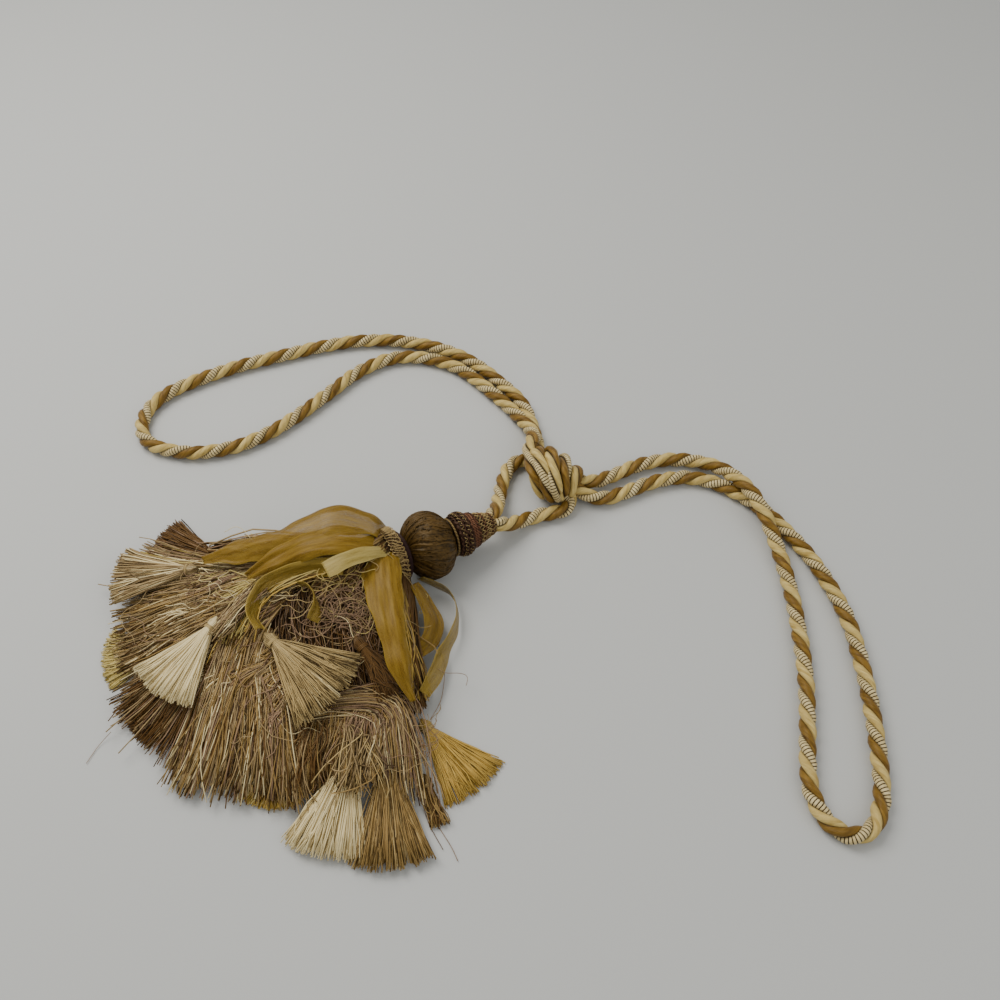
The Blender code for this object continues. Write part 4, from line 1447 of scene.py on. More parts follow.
@dataclass
class Lock:
    """A lock of long loose threads, in tufts, that runs through cross lines from side to side."""

    name: str
    lines: tuple[Line, ...]
    mix: tuple[tuple[Thread, int], ...]
    seed: int
    steps: int
    tufts: int
    nodes: tuple[str, ...] = ()
    layer: float = 1.0
    depth: float = 5.0
    radius: float = 0.38
    tip_drop: float = 0.35
    tip_jitter: float = 0.05
    curl: float = 1.35
    stray_share: float = 0.10
    root_lift: float = 0.0
    # A lift of every thread's tone; a negative lift, as in the hollow lock, is painted shade.
    tone: float = 0.0

    def threads(self, count: int, rng: np.random.Generator) -> tuple[Array, Array]:
        """Lays out some threads.

        Args:
            count: how many.
            rng: draws their places.

        Returns:
            (count, steps, 3) points in layout millimetres, and each thread's tone (painted shade low,
            highlight on strays).
        """
        tuft_rng = np.random.default_rng(self.seed)
        middle = (np.arange(self.tufts) + 0.5 + tuft_rng.uniform(-0.25, 0.25, self.tufts)) / self.tufts
        tuft_end = tuft_rng.uniform(-0.09, 0.05, self.tufts)
        tuft_lift = tuft_rng.uniform(0.0, 2.6, self.tufts)
        tuft_drift = tuft_rng.normal(0, 0.045, self.tufts)
        tuft_wave = tuft_rng.uniform(0, 2 * pi, self.tufts)
        tuft_tone = tuft_rng.uniform(-0.16, 0.16, self.tufts)
        tuft = rng.integers(0, self.tufts, count)
        stray = rng.uniform(0, 1, count) < self.stray_share
        ends = np.clip(1.0 + tuft_end[tuft] + rng.normal(0, self.tip_jitter, count), 0.70, 1.09)
        starts = rng.uniform(0.0, 0.10, count)
        at = starts[:, None] + (ends - starts)[:, None] * np.linspace(0, 1, self.steps)[None]
        fine = smooth_line(self.lines, 1.5)
        base = len(fine) - 1
        fine = np.vstack((fine, fine[-1] + (fine[-1] - fine[-2]) * np.arange(1, 12)[:, None]))
        where = np.arange(len(fine)) / base
        first_x, first_y, last_x, last_y = (np.interp(at, where, fine[:, i]) for i in range(4))
        off = np.clip(rng.normal(0, 0.42, count), -1.1, 1.1)[:, None] / self.tufts
        place = middle[tuft][:, None] + off * (0.55 + 0.95 * at) + tuft_drift[tuft][:, None] * at
        place = place + rng.normal(0, 0.07, (count, 1)) * at
        place = place + rng.normal(0, 0.03, (count, 1)) * np.sin(at * pi)
        x = first_x + (last_x - first_x) * place
        y = first_y + (last_y - first_y) * place
        wave = rng.uniform(0, 2 * pi, (count, 2))
        rate = np.where(stray[:, None], rng.uniform(3.0, 6.5, (count, 2)), rng.uniform(5.0, 13.0, (count, 2)))
        size = (self.curl * rng.gamma(1.6, 0.5, count) * np.where(stray, 4.5, 1.0))[:, None]
        together = 1.3 * np.sin(3.4 * at + tuft_wave[tuft][:, None]) * at
        grown = 0.25 + 0.75 * at
        x = x + size * np.sin(rate[:, :1] * at + wave[:, :1]) * grown + together
        y = y + size * np.sin(rate[:, 1:] * at + wave[:, 1:]) * grown + together * 0.6
        deep = np.where(stray, 1.0, rng.beta(1.2, 1.1, count))
        low = Heights.bottom(self.layer, x, y)
        room = self.depth * (1 - 0.45 * at)
        lift = 0.3 * np.minimum(size, 1.5) * np.sin(rate[:, 1:] * 1.3 * at + wave[:, :1])
        arch = (tuft_lift[tuft] + 1.5 * stray)[:, None] * np.sin(pi * at * 0.75)
        z = low + room * deep[:, None] + lift + arch + self.root_lift * (1 - ease(0.0, 0.45, at))
        z = z * (1 - self.tip_drop * ease(0.72, 1.0, at))
        # Tone is random per thread and tuft, darkened on the lower threads as painted shade and lifted on the
        # loose strays as a painted highlight.
        tone = rng.beta(0.62, 0.66, count) * (0.45 + 0.75 * deep) + tuft_tone[tuft] + self.tone + 0.22 * stray
        return np.stack((x, y, np.maximum(z, self.radius + 0.3)), axis=-1), np.clip(tone, 0, 1)

    def build(self) -> bpy.types.Object:
        """Makes the lock's threads, in all its tones.

        Returns:
            The lock.
        """
        rng = np.random.default_rng(self.seed + 1000)
        mesh = FibreMesh(self.name, [thread.value for thread, _ in self.mix])
        for slot, (_, count) in enumerate(self.mix):
            mesh.add_threads(self.threads(count, rng), self.radius, rng, slot)
        return settle(mesh.build(), self.mix[0][0].value.slot, *self.nodes)


@dataclass
class FanTassel:
    """A small tassel: a bound head, a tie, and threads that fan out to a curved end."""

    name: str
    layer: float
    apex: tuple[float, float]
    heading: float
    spread: float
    length: float
    mix: tuple[tuple[Thread, int], ...]
    seed: int = 1
    steps: int = 8
    radius: float = 0.38
    curl: float = 1.0
    tie: Thread = Thread.CHAMPAGNE
    tip_jitter: float = 0.03
    height: float = 5.6
    stray_share: float = 0.05
    droop: float = 0.0
    sink: float = 0.0

    def threads(self, count: int, rng: np.random.Generator) -> tuple[Array, Array]:
        """Lays out some of the threads.

        Args:
            count: how many.
            rng: draws their places.

        Returns:
            (count, steps, 3) points in layout millimetres, and each thread's tone (painted shade low,
            highlight on strays).
        """
        turn = radians(self.heading)
        forward, side = np.array((cos(turn), sin(turn))), np.array((-sin(turn), cos(turn)))
        across = 2 * (np.arange(count) + rng.uniform(0, 1, count)) / count - 1
        rng.shuffle(across)
        across = across[:, None]
        ends = 1 + np.clip(rng.normal(0, self.tip_jitter, count), -0.10, 0.05)
        heads = np.array((0.0, 0.4, 1.0)) * HEAD_LENGTH
        rest = np.linspace(0, 1, self.steps - len(heads) + 1)[1:]
        below_tie = HEAD_LENGTH + (self.length * ends[:, None] - HEAD_LENGTH) * rest
        distance = np.concatenate((np.tile(heads, (count, 1)), below_tie), axis=1)
        opened = np.clip((distance - HEAD_LENGTH) / (self.length - HEAD_LENGTH), 0, 1.1)
        head_widths = (1.2, HEAD_HALF_WIDTH - 0.4, TIE_HALF_WIDTH - 0.5)
        head_half = np.interp(distance, (0.0, 0.35 * HEAD_LENGTH, HEAD_LENGTH), head_widths)
        fan_half = TIE_HALF_WIDTH + (distance - HEAD_LENGTH) * sin(radians(self.spread)) * 1.02
        half = np.where(distance <= HEAD_LENGTH, head_half, fan_half)
        wave = rng.uniform(0, 2 * pi, (count, 1))
        rate = rng.uniform(3.0, 7.0, (count, 1))
        stray = (rng.uniform(0, 1, (count, 1)) < self.stray_share).astype(float)
        size = self.curl * rng.gamma(1.5, 0.5, (count, 1)) * (1 + 2.2 * stray)
        drift = rng.normal(0, 0.07, (count, 1)) * opened
        clump = 0.05 * np.sin(across * 17.0 + self.seed) * opened
        place = np.clip(across + drift + clump, -1.05, 1.05)
        bow = 1 - (1 - np.cos(radians(self.spread) * place)) * opened
        sway = size * np.sin(rate * opened + wave) * opened
        x = self.apex[0] + forward[0] * distance * bow + side[0] * (half * place + sway)
        y = self.apex[1] + forward[1] * distance * bow + side[1] * (half * place + sway)
        low = Heights.bottom(self.layer, x, y)
        round_share = np.sqrt(np.clip(1 - across**2, 0.03, 1))
        deep = np.maximum(rng.beta(1.1, 1.0, (count, 1)), stray)
        thin = 1.0 - 0.38 * opened
        z = low + 0.45 + (self.height - 0.9) * (0.25 + 0.75 * round_share) * thin * deep
        z = z + 0.25 * size * np.sin(rate * 1.4 * opened + wave * 2) * opened + 0.9 * stray * opened
        z = z * (1 - self.droop * ease(0.3, 1.1, opened)) - self.sink * (1 - ease(-0.2, 0.45, opened))
        # Tone is random per thread, darkened on the lower threads as painted shade and lifted on the loose
        # strays as a painted highlight.
        tone = rng.beta(0.8, 0.7, count) * (0.42 + 0.74 * deep[:, 0]) + 0.15 * stray[:, 0]
        return np.stack((x, y, np.maximum(z, 0.45)), axis=-1), np.clip(tone, 0, 1)

    def build(self) -> bpy.types.Object:
        """Makes the tassel with its tie.

        Returns:
            The tassel, which stands for the node of its name.
        """
        rng = np.random.default_rng(self.seed)
        finishes = [thread.value for thread, _ in self.mix] + [self.tie.value]
        mesh = FibreMesh(f"{self.name}_threads", finishes)
        for slot, (_, count) in enumerate(self.mix):
            mesh.add_threads(self.threads(count, rng), self.radius, rng, slot, (0.75, 1.15))
        self.add_tie(mesh, len(self.mix), rng)
        return settle(mesh.build(), self.mix[0][0].value.slot, self.name)

    def add_tie(self, mesh: FibreMesh, slot: int, rng: np.random.Generator) -> None:
        """Winds the tie's thread round the head.

        Args:
            mesh: takes it.
            slot: index of its finish.
            rng: draws its tone.
        """
        turn = radians(self.heading)
        forward, side = np.array((cos(turn), sin(turn), 0.0)), np.array((-sin(turn), cos(turn), 0.0))
        angles = 2 * pi * np.arange(26) / 26
        for number in range(3):
            place = HEAD_LENGTH - 1.9 + number * 0.7
            x = self.apex[0] + forward[0] * place
            y = self.apex[1] + forward[1] * place
            low = float(Heights.bottom(self.layer, np.array(x), np.array(y)))
            half_high = (self.height - 0.7) / 2
            centre = np.array((x, y, low + 0.35 + half_high))
            ring = (
                centre
                + side * ((TIE_HALF_WIDTH + 0.25) * np.cos(angles))[:, None]
                + UP * (half_high * np.sin(angles))[:, None]
                + forward * (0.3 * np.sin(angles))[:, None]
            )
            mesh.add_tubes(ring[None], 0.36, 6, rng.uniform(0.2, 0.8), slot, True, forward)


@dataclass
class TuftField:
    """Many small untied tassels that lie over each other, out from the skirt's root."""

    name: str
    count: int
    headings: tuple[float, float]
    reaches: tuple[float, float]
    lengths: tuple[float, float]
    mix: tuple[Thread, ...]
    threads: int = 70
    layer: float = 1.5
    seed: int = 1
    turn: float = 11.0
    droop: float = 0.35

    def build(self) -> bpy.types.Object:
        """Makes the tufts.

        Returns:
            The piece that holds all of them.
        """
        rng = np.random.default_rng(self.seed)
        mesh = FibreMesh(self.name, [thread.value for thread in self.mix])
        for number in range(self.count):
            first, last = self.headings
            direction = first + (last - first) * (number + rng.uniform(0.1, 0.9)) / self.count
            reach = rng.uniform(*self.reaches)
            apex = SKIRT_ROOT + reach * np.array((cos(radians(direction)), sin(radians(direction))))
            tuft = FanTassel(
                self.name, self.layer + rng.uniform(0, 0.5), tuple(apex),
                direction + rng.normal(0, self.turn), rng.uniform(10, 21), rng.uniform(*self.lengths), (),
                seed=number, curl=1.7, tip_jitter=0.07, stray_share=0.12, droop=self.droop, sink=7.0,
            )
            main = int(rng.integers(0, len(self.mix)))
            for slot in range(len(self.mix)):
                amount = self.threads if slot == main else self.threads // 6
                mesh.add_threads(tuft.threads(amount, rng), tuft.radius, rng, slot, (0.7, 1.1))
        return settle(mesh.build(), self.mix[0].value.slot)


@dataclass
class Curls:
    """Fine threads that curl over each other: each is an open loop about its own middle."""

    name: str
    centre: tuple[float, float]
    spread: tuple[float, float]
    sizes: tuple[float, float]
    sweeps: tuple[float, float]
    mix: tuple[tuple[Thread, int], ...]
    layer: float = 2.0
    height: float = 7.0
    nodes: tuple[str, ...] = ()
    seed: int = 77
    steps: int = 15
    radius: float = 0.21

    def build(self) -> bpy.types.Object:
        """Makes the curled threads.

        Returns:
            The piece that holds all of them.
        """
        rng = np.random.default_rng(self.seed)
        mesh = FibreMesh(self.name, [thread.value for thread, _ in self.mix])
        for slot, (_, count) in enumerate(self.mix):
            middle = self.centre + np.clip(rng.normal(0, 1, (count, 2)), -1.7, 1.7) * self.spread
            size = rng.uniform(*self.sizes, count)[:, None]
            at = np.linspace(0, 1, self.steps)[None]
            first = rng.uniform(0, 2 * pi, (count, 1))
            sweep = rng.uniform(*self.sweeps, (count, 1)) * rng.choice((-1, 1), (count, 1))
            grown = size * (1 + rng.uniform(-0.4, 0.5, (count, 1)) * at) * (1 + 0.1 * np.sin(at * 9 + first))
            turn = first + sweep * at
            lean = rng.uniform(-0.6, 0.2, (count, 1))
            long, short = grown * np.cos(turn), 0.72 * grown * np.sin(turn)
            x = middle[:, :1] + long * np.cos(lean) - short * np.sin(lean)
            y = middle[:, 1:] + long * np.sin(lean) + short * np.cos(lean)
            off_x = (x - self.centre[0]) / (self.spread[0] * 2.7)
            off_y = (y - self.centre[1]) / (self.spread[1] * 2.7)
            level = rng.uniform(0, 1, (count, 1))
            waves = 0.5 + 0.5 * np.sin(turn * 0.8 + level * 9.0)
            room = self.height * np.clip(1 - 0.6 * (off_x**2 + off_y**2), 0.2, 1)
            z = Heights.bottom(self.layer, x, y) - 2.0 + room * (0.75 * level + 0.25 * waves)
            # Random tone per loop, darker on the lower loops: painted shade.
            tone = rng.beta(2.2, 0.7, count) * (0.5 + 0.6 * level[:, 0])
            paths = np.stack((x, y, np.maximum(z, self.radius + 0.2)), axis=-1)
            mesh.add_tubes(paths, self.radius, 3, np.clip(tone, 0, 1), slot)
        return settle(mesh.build(), self.mix[0][0].value.slot, *self.nodes)


@dataclass
class Stray:
    """Single threads that lie loose."""

    name: str
    routes: tuple[tuple[Point, ...], ...]
    finish: Thread
    radius: float = 0.26
    seed: int = 5

    def build(self) -> bpy.types.Object:
        """Makes the loose threads.

        Returns:
            The piece.
        """
        rng = np.random.default_rng(self.seed)
        mesh = FibreMesh(self.name, [self.finish.value])
        for route in self.routes:
            line = smooth_line(route, 2.0)
            mesh.add_tubes(line[None], self.radius, 4, rng.uniform(0.2, 0.9))
        return settle(mesh.build(), self.finish.value.slot)


# ------------------------------------------------------------------ ribbons


@dataclass
class Ribbon:
    """A strip of organza along its middle line, with lengthwise pleats, crumples and a wavy edge."""

    node: str
    route: tuple[Point, ...]
    widths: tuple[float, ...]
    rolls: tuple[float, ...]
    cloth: Cloth
    seed: int
    camber: float
    pleats: float
    pleat_size: float
    crumple: float = 0.6
    step: float = 1.4
    columns: int = 25
    thickness: float = 0.2

    def build(self) -> bpy.types.Object:
        """Returns:
            The ribbon.
        """
        rng = np.random.default_rng(self.seed)
        line = smooth_line(self.route, self.step)
        length = line_length(line)
        steps = len(line)
        share = np.linspace(0, 1, steps)
        width = np.interp(share, np.linspace(0, 1, len(self.widths)), self.widths)[:, None]
        roll = np.radians(np.interp(share, np.linspace(0, 1, len(self.rolls)), self.rolls))[:, None]
        heading = unit(np.gradient(line, axis=0))
        level = unit(np.cross(UP, heading))
        over = np.cross(heading, level)
        side = level * np.cos(roll) + over * np.sin(roll)
        normal = np.cross(heading, side)
        at = (share * length)[:, None]
        across = np.linspace(-1, 1, self.columns)[None]
        turns = rng.uniform(0, 2 * pi, 8)
        pleat = np.sin(across * pi * self.pleats / 2 + turns[0] + 0.9 * np.sin(at / 17.0 + turns[1]))
        crease = np.sin(across * pi * self.pleats * 0.8 + turns[2] + 0.5 * np.sin(at / 23.0 + turns[3]))
        sharp = 1 - np.abs(crease)
        fine = np.sin(across * pi * self.pleats * 2.9 + turns[4] + at / 21.0)
        ruffle = np.abs(across) ** 3 * np.sin(at / 4.1 + turns[5] + across * 1.5)
        crumple = np.sin(at / 6.3 + across * 2.2 + turns[6]) * np.sin(at / 9.7 - across * 3.1 + turns[7])
        lift = self.camber * (0.6 - across**2) * width / 16
        lift = lift + self.pleat_size * (1.1 * pleat + 0.3 * sharp**3 + 0.09 * fine + 0.35 * ruffle)
        lift = lift + self.crumple * crumple
        ragged = 1 + 0.05 * np.sin(at / 7.0 + turns[1]) + 0.04 * np.sin(at / 2.9 + turns[3])
        offset = across * width / 2 * ragged
        points = line[:, None] + side[:, None] * offset[..., None] + normal[:, None] * lift[..., None]
        mesh = FibreMesh(f"{self.node}_organza", [self.cloth.value])
        index = np.arange(steps * self.columns).reshape(steps, self.columns)
        from_middle = np.tile(np.abs(across[0]), steps)
        mesh.add_points(points.reshape(-1, 3), from_middle, np.repeat(share, self.columns))
        quads = np.stack((index[:-1, :-1], index[:-1, 1:], index[1:, 1:], index[1:, :-1]), -1).reshape(-1, 4)
        flat = np.stack((offset, np.broadcast_to(at, offset.shape)), -1).reshape(-1, 2)
        mesh.add_faces(quads, 0, flat[quads])
        made = mesh.build()
        thick = made.modifiers.new("cloth_thickness", "SOLIDIFY")
        thick.thickness = self.thickness * MM
        thick.offset = 0.0
        pick(made)
        bpy.ops.object.modifier_apply(modifier=thick.name)
        settle(made, self.cloth.value.slot, self.node)
        return made


# ------------------------------------------------------------------ what is built

LOCKS = (
    Lock(
        "lock_upper_yarn",
        ((30, 78, 20, 60), (-8, 74, -10, 58), (-40, 76, -40, 56), (-66, 80, -70, 60), (-98, 90, -108, 66)),
        ((Thread.TAUPE, 110), (Thread.MAUVE, 60), (Thread.CREAM, 26), (Thread.OLIVE, 40)), 101, 11, 5,
    ),
    Lock(
        "lock_back_yarn", ((14, 68, 4, 48), (-24, 62, -20, 38), (-60, 58, -52, 24), (-112, 51, -90, 3)),
        ((Thread.TAUPE, 280), (Thread.BRONZE, 140), (Thread.BROWN, 90), (Thread.CREAM, 60)), 102, 11, 9,
        depth=5.5, nodes=("yarn_fan_back",),
    ),
    Lock(
        "lock_left_yarn", ((2, 48, -4, 36), (-34, 34, -26, 18), (-62, 8, -48, -6), (-96, -12, -68, -44)),
        ((Thread.BROWN, 230), (Thread.TAUPE, 130), (Thread.MAUVE, 60)), 103, 10, 6,
        depth=4.5, nodes=("yarn_fan_left",),
    ),
    Lock(
        "lock_middle_yarn",
        ((4, 50, -4, 34), (-32, 38, -17, 16), (-43, 8, -20, -4), (-50, -24, -25, -34), (-59, -56, -29, -68)),
        (
            (Thread.TAUPE, 270), (Thread.BRONZE, 160), (Thread.BROWN, 100), (Thread.MAUVE, 100),
            (Thread.CREAM, 60),
        ),
        104, 12, 9, depth=6.0, nodes=("yarn_fan_middle",),
    ),
    Lock(
        "lock_front_yarn",
        ((-14, 24, -6, 14), (-22, 0, -8, -8), (-24, -24, 2, -26), (-25, -48, 8, -52), (-30, -67, 14, -77)),
        (
            (Thread.TAUPE, 250), (Thread.BRONZE, 200), (Thread.BROWN, 120), (Thread.MAUVE, 80),
            (Thread.CREAM, 60),
        ),
        105, 11, 9, depth=5.5, nodes=("yarn_fan_front",),
    ),
    Lock(
        "lock_inner_yarn", ((8, -28, 34, -28), (12, -45, 36, -44), (13, -58, 35, -55), (14, -74, 34, -66)),
        ((Thread.TAUPE, 120), (Thread.BROWN, 110), (Thread.BRONZE, 100)), 106, 10, 5,
        nodes=("yarn_fan_inner",),
    ),
    Lock(
        "lock_right_yarn", ((30, -22, 66, -20), (33, -32, 71, -32), (34, -46, 72, -46), (35, -58, 73, -60)),
        ((Thread.MAUVE, 200), (Thread.TAUPE, 120), (Thread.BROWN, 110), (Thread.BRONZE, 60)), 107, 10, 8,
        depth=5.5, nodes=("yarn_fan_right",),
    ),
    Lock(
        "lock_sweep_yarn",
        ((8, -40, 16, -24), (34, -36, 42, -20), (52, -38, 64, -22), (52, -56, 74, -42), (50, -68, 80, -68)),
        ((Thread.TAUPE, 70), (Thread.MAUVE, 50), (Thread.BRONZE, 30), (Thread.CREAM, 24)), 108, 12, 4,
        layer=1.6, depth=4.0, curl=1.1, stray_share=0.08,
    ),
    Lock(
        "lock_gold_yarn", ((58, 50, 66, 44), (59, 26, 72, 22), (61, 6, 77, 2), (64, -14, 80, -14)),
        ((Thread.GOLD, 70), (Thread.BRONZE, 50)), 109, 10, 4, curl=1.4, root_lift=4.0,
    ),
    Lock(
        "lock_collar_yarn", ((46, 86, 62, 52), (34, 81, 58, 42), (14, 66, 54, 22), (-2, 50, 50, 2)),
        ((Thread.BROWN, 180), (Thread.BRONZE, 90), (Thread.MAUVE, 60), (Thread.OLIVE, 50)), 110, 10, 9,
        root_lift=5.0, tip_drop=0.0,
    ),
    # The hollow under the tangle: its brown and mauve threads are darkened a quarter further, a painted
    # shade.
    Lock(
        "lock_hollow_yarn", ((-2, 44, 40, 40), (-4, 26, 52, 22), (0, 6, 56, -2), (10, -20, 62, -26)),
        ((Thread.BROWN, 200), (Thread.MAUVE, 70)), 111, 10, 8, tip_drop=0.0, curl=1.6, tone=-0.25,
    ),
    Lock(
        "lock_arc_yarn",
        ((36, 64, 36, 52), (8, 58, 10, 46), (-14, 52, -10, 40), (-30, 38, -20, 30), (-36, 16, -26, 14)),
        ((Thread.OLIVE, 70), (Thread.BRONZE, 60), (Thread.GOLD, 30)), 112, 11, 4,
        layer=2.0, depth=3.0, curl=1.4, tip_drop=0.0, stray_share=0.2,
    ),
    Lock(
        "lock_flank_back_yarn",
        ((53, 76, 47, 93), (22, 74, 20, 93), (-8, 74, -10, 94), (-34, 76, -40, 95), (-48, 78, -60, 94)),
        ((Thread.BROWN, 130), (Thread.TAUPE, 100), (Thread.MAUVE, 60)), 131, 9, 8,
        layer=1.6, depth=3.5, radius=0.55, curl=1.2, tip_drop=0.5,
    ),
    Lock(
        "lock_flank_right_yarn",
        ((56, 60, 68, 56), (57, 40, 71, 42), (59, 18, 73, 20), (62, -4, 76, -2), (64, -20, 78, -16)),
        ((Thread.BROWN, 140), (Thread.TAUPE, 60), (Thread.MAUVE, 40)), 132, 9, 8,
        layer=1.2, depth=3.5, radius=0.55, curl=1.2, tip_drop=0.5,
    ),
    Lock(
        "lock_over_ivory_yarn", ((-24, 46, -12, 38), (-34, 34, -26, 27), (-46, 18, -39, 13)),
        ((Thread.TAUPE, 34), (Thread.CREAM, 14), (Thread.MAUVE, 12)), 121, 10, 3,
        layer=2.8, depth=3.0, tip_drop=0.0, curl=1.6, stray_share=0.15,
    ),
    Lock(
        "lock_over_cream_yarn", ((34, -34, 50, -34), (37, -48, 54, -48), (34, -70, 56, -73)),
        ((Thread.TAUPE, 70), (Thread.CHAMPAGNE, 50), (Thread.BRONZE, 40)), 122, 10, 4,
        layer=1.4, depth=3.0, tip_drop=0.0, curl=1.4, stray_share=0.12,
    ),
)

CURLS = (
    Curls(
        "curled_yarn_tangle", (35.0, 27.0), (11.5, 9.0), (3.0, 15.0), (1.4, 4.6),
        ((Thread.MAUVE, 95), (Thread.TAUPE, 30)), nodes=("yarn_tangle",), steps=20, radius=0.27,
    ),
    Curls(
        "loose_curls_left", (-44.0, 50.0), (26.0, 14.0), (12.0, 34.0), (0.5, 1.6),
        ((Thread.CREAM, 12), (Thread.MAUVE, 16), (Thread.TAUPE, 18)), 2.5, 5.0, seed=78,
    ),
    Curls(
        "loose_curls_front", (-6.0, -8.0), (26.0, 16.0), (10.0, 30.0), (0.5, 1.5),
        ((Thread.CREAM, 8), (Thread.MAUVE, 14), (Thread.TAUPE, 14)), 2.2, 6.0, seed=79,
    ),
    Curls(
        "loose_curls_right", (56.0, -34.0), (14.0, 12.0), (8.0, 24.0), (0.6, 2.0),
        ((Thread.MAUVE, 26), (Thread.TAUPE, 20)), 1.8, 5.0, seed=80,
    ),
    Curls(
        "loose_curls_collar", (22.0, 46.0), (20.0, 10.0), (9.0, 24.0), (0.5, 2.0),
        ((Thread.OLIVE, 22), (Thread.CHAMPAGNE, 16)), 2.6, 6.0, seed=81,
    ),
)

TUFTS = (
    TuftField(
        "tufts_front", 15, (222.0, 260.0), (80.0, 101.0), (36.0, 50.0),
        (Thread.TAUPE, Thread.BRONZE, Thread.BROWN, Thread.MAUVE), 54, 1.3, 501,
    ),
    TuftField(
        "tufts_front_upper", 9, (230.0, 252.0), (72.0, 88.0), (32.0, 44.0),
        (Thread.TAUPE, Thread.BRONZE, Thread.MAUVE), 46, 1.3, 502, droop=0.1,
    ),
    TuftField(
        "tufts_left", 10, (188.0, 222.0), (92.0, 118.0), (36.0, 50.0),
        (Thread.TAUPE, Thread.BRONZE, Thread.CREAM), 48, 1.2, 503,
    ),
    TuftField(
        "tufts_left_upper", 8, (180.0, 214.0), (56.0, 82.0), (36.0, 48.0),
        (Thread.TAUPE, Thread.MAUVE, Thread.OLIVE), 40, 1.4, 504, droop=0.1, turn=16.0,
    ),
    TuftField(
        "tufts_right", 8, (260.0, 275.0), (84.0, 98.0), (28.0, 38.0),
        (Thread.MAUVE, Thread.TAUPE, Thread.BROWN), 46, 1.4, 505,
    ),
)

TASSELS = (
    FanTassel("tassel_brown_back", 0, (-55, 85), 157, 19, 48, ((Thread.BROWN, 260), (Thread.MAUVE, 30)), 201),
    FanTassel("tassel_gold_left", 0, (-73, 22), 193, 29, 42, ((Thread.OLIVE, 270), (Thread.CREAM, 40)), 202),
    FanTassel("tassel_brown_left", 0, (-57, -8), 217, 23, 38, ((Thread.BROWN, 200), (Thread.TAUPE, 60)), 203),
    FanTassel("tassel_gold_front", 0, (0, -46), 264, 31, 32, ((Thread.GOLD, 170), (Thread.OLIVE, 60)), 204),
    FanTassel("tassel_cream_front", 0.4, (42, -43), 258, 20, 62, ((Thread.CREAM, 320),), 205),
    FanTassel(
        "tassel_bronze_front", 0.4, (59, -46), 276, 18, 64,
        ((Thread.BRONZE, 280), (Thread.CHAMPAGNE, 60)), 206,
    ),
    FanTassel("tassel_gold_right", 0, (77, -27), 310, 22, 51, ((Thread.GOLD, 340),), 207),
    FanTassel("tassel_thin_right", 0, (80, -60), 290, 5, 29, ((Thread.BRONZE, 40), (Thread.BROWN, 20)), 208),
    FanTassel("tassel_taupe_back", 2, (-64, 66), 181, 22, 52, ((Thread.TAUPE, 260), (Thread.CREAM, 60)), 209),
    FanTassel("tassel_ivory", 2.6, (-42, 24), 236, 25, 51, ((Thread.CREAM, 370),), 210, curl=0.4),
    FanTassel(
        "tassel_champagne", 2.9, (-11, 9), 320, 26, 56, ((Thread.CHAMPAGNE, 330), (Thread.CREAM, 30)), 211,
    ),
    FanTassel("tassel_brown_middle", 2, (40, 8), 312, 16, 36, ((Thread.BROWN, 220),), 212, tie=Thread.BROWN),
)

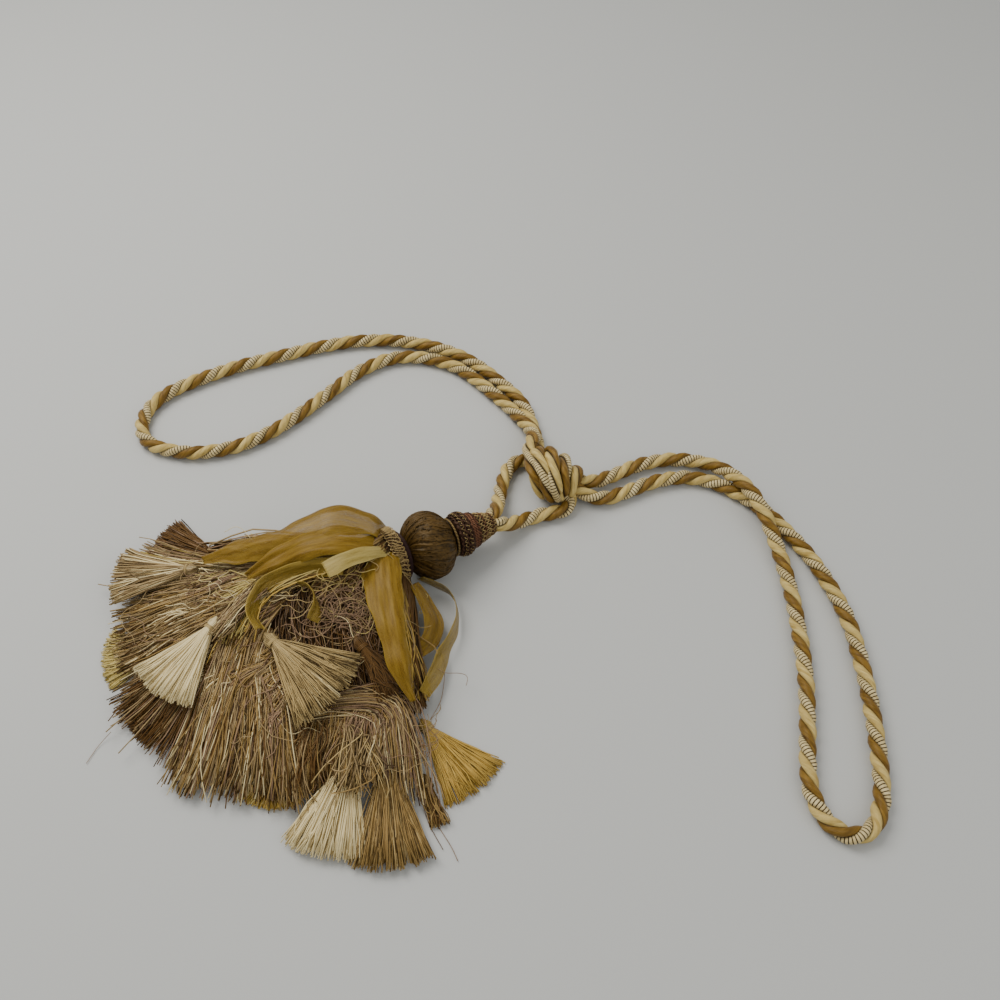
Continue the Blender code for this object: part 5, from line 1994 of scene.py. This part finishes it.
RIBBONS = (
    Ribbon(
        "ribbon_puff_back",
        (
            (50, 84, 35), (41, 84, 44.5), (25, 83, 50), (8, 78, 46.5), (-12, 73, 40), (-36, 71, 34),
            (-60, 69, 26),
        ),
        (19, 27, 33, 29, 22, 17, 6), (28, 22, 18, 12, 8, 5, 5), Cloth.AMBER, 301,
        camber=4.2, pleats=1.9, pleat_size=1.0, crumple=0.9,
    ),
    Ribbon(
        "ribbon_puff_front",
        ((51, 72, 37), (40, 69, 46.5), (22, 65, 51.5), (5, 61, 49), (-10, 57, 43), (-28, 49, 37)),
        (18, 21, 21, 18, 13, 4), (8, 4, 0, -8, -16, -20), Cloth.AMBER, 302,
        camber=2.4, pleats=2.2, pleat_size=0.9, crumple=0.7,
    ),
    Ribbon(
        "ribbon_sheer", ((54, 64, 42), (44, 57, 49.5), (32, 50, 52), (21, 44, 50.5)),
        (8, 11, 11, 11), (0, -4, -6, -4), Cloth.SHEER, 303,
        camber=0.5, pleats=1.2, pleat_size=0.2, crumple=0.25,
    ),
    Ribbon(
        "ribbon_arc",
        (
            (30, 50, 45), (14, 51, 43), (-3, 48, 41), (-15, 42, 39), (-20, 32, 38), (-20, 22, 37),
            (-14, 12, 38),
        ),
        (9, 11, 12, 12, 11, 10, 7), (-30, -50, -62, -66, -62, -50, -30), Cloth.OLIVE, 304,
        camber=0.8, pleats=2.0, pleat_size=0.5, crumple=0.5,
    ),
    Ribbon(
        "ribbon_curl", ((4, 41, 41.5), (10, 39, 42), (15, 33, 42), (17, 25, 40.5), (15, 17, 39)),
        (8, 11, 11, 10, 7), (-70, -80, -80, -60, -40), Cloth.OLIVE, 305,
        camber=0.5, pleats=1.5, pleat_size=0.35, crumple=0.4,
    ),
    Ribbon(
        "ribbon_down",
        ((49, 71, 36), (52, 50, 42.5), (56, 30, 42), (61, 10, 38.5), (67, -10, 32.5), (74, -24, 21)),
        (24, 25, 20, 16, 13, 4), (6, 4, 0, -4, -8, -20), Cloth.AMBER, 306,
        camber=2.2, pleats=1.8, pleat_size=0.8,
    ),
    Ribbon(
        "ribbon_side", ((70, 54, 22), (77, 45, 17), (82, 34, 12.5), (81, 23, 10.5), (74, 12, 12)),
        (9, 13, 14, 12, 8), (-30, -35, -40, -35, -30), Cloth.AMBER, 307,
        camber=1.2, pleats=2.0, pleat_size=0.5,
    ),
    Ribbon(
        "ribbon_loop_right",
        (
            (73, 61, 18), (82, 60.5, 12), (91, 56, 9), (96, 45, 8), (95, 30, 8), (89, 14, 9), (85, -1, 11),
            (79, -16, 14),
        ),
        (9, 10, 10, 10, 10, 10, 10, 8), (-70, -78, -80, -78, -68, -50, -40, -30), Cloth.OLIVE, 308,
        camber=0.4, pleats=1.2, pleat_size=0.25, crumple=0.3,
    ),
)

STRAYS = (
    Stray(
        "stray_dark_threads",
        (
            ((84, 24, 6), (89, 8, 3), (88, -12, 1.5), (82, -26, 1.5)),
            ((80, -64, 4), (86, -82, 1.2), (96, -98, 0.8), (100, -106, 0.8)),
            ((78, -66, 4), (83, -84, 1.2), (92, -100, 0.8)),
            ((-98, -34, 3), (-104, -42, 0.9), (-108, -52, 0.8)),
        ),
        Thread.MAUVE, 0.20, 401,
    ),
)


def build_stage() -> None:
    """Makes the floor, the soft lights and the camera."""
    bpy.ops.object.select_all(action="DESELECT")
    bpy.ops.mesh.primitive_plane_add(size=8.0, location=(0, 0, 0))
    floor = bpy.context.active_object
    floor.name = "floor"
    pale = bpy.data.materials.new("pale_floor")
    pale.use_nodes = True
    shader = pale.node_tree.nodes["Principled BSDF"]
    shader.inputs["Base Color"].default_value = (0.50, 0.50, 0.475, 1.0)
    shader.inputs["Roughness"].default_value = 0.7
    floor.data.materials.append(pale)
    lamps = (
        ("key_light", (-0.55, 0.55, 1.15), 0.9, 17.0, (1.0, 0.985, 0.96)),
        ("fill_light", (0.9, -0.7, 1.1), 1.2, 5.0, (0.96, 0.98, 1.0)),
    )
    for name, place, size, power, colour in lamps:
        data = bpy.data.lights.new(name, "AREA")
        data.size, data.energy, data.color = size, power, colour
        lamp = bpy.data.objects.new(name, data)
        bpy.context.scene.collection.objects.link(lamp)
        lamp.location = place
        lamp.rotation_euler = (Vector((0.08, 0.03, 0.0)) - Vector(place)).to_track_quat("-Z", "Y").to_euler()
    world = bpy.data.worlds.new("room_light")
    world.use_nodes = True
    world.node_tree.nodes["Background"].inputs["Color"].default_value = (0.97, 0.98, 0.97, 1.0)
    world.node_tree.nodes["Background"].inputs["Strength"].default_value = 0.55
    bpy.context.scene.world = world
    camera_data = bpy.data.cameras.new("camera")
    camera_data.lens, camera_data.sensor_width = 36.0, 36.0
    camera = bpy.data.objects.new("camera", camera_data)
    bpy.context.scene.collection.objects.link(camera)
    camera.location = (0.1187, -0.2921, 0.525)
    camera.rotation_euler = (radians(39.0), 0.0, 0.0)
    bpy.context.scene.camera = camera


def main() -> None:
    """Builds the tieback, piece by piece."""
    logging.basicConfig(level=logging.INFO, format="%(name)s: %(message)s")
    build_stage()
    Ropework().build()
    head = HeadFrame()
    Ball(head).build()
    NeckBinding(head).build()
    trims = WaistAndCollar(head)
    trims.gold_cord()
    trims.waist()
    trims.collar()
    SkirtCore(head).build()
    for piece in (*LOCKS, *TUFTS, *TASSELS, *CURLS, *STRAYS, *RIBBONS):
        piece.build()
    meshes = [piece.data for piece in bpy.data.objects if piece.type == "MESH"]
    triangles = sum(len(face.vertices) - 2 for mesh in meshes for face in mesh.polygons)
    log.info("all meshes: %d triangles", triangles)
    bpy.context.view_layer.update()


if __name__ == "__main__":
    main()
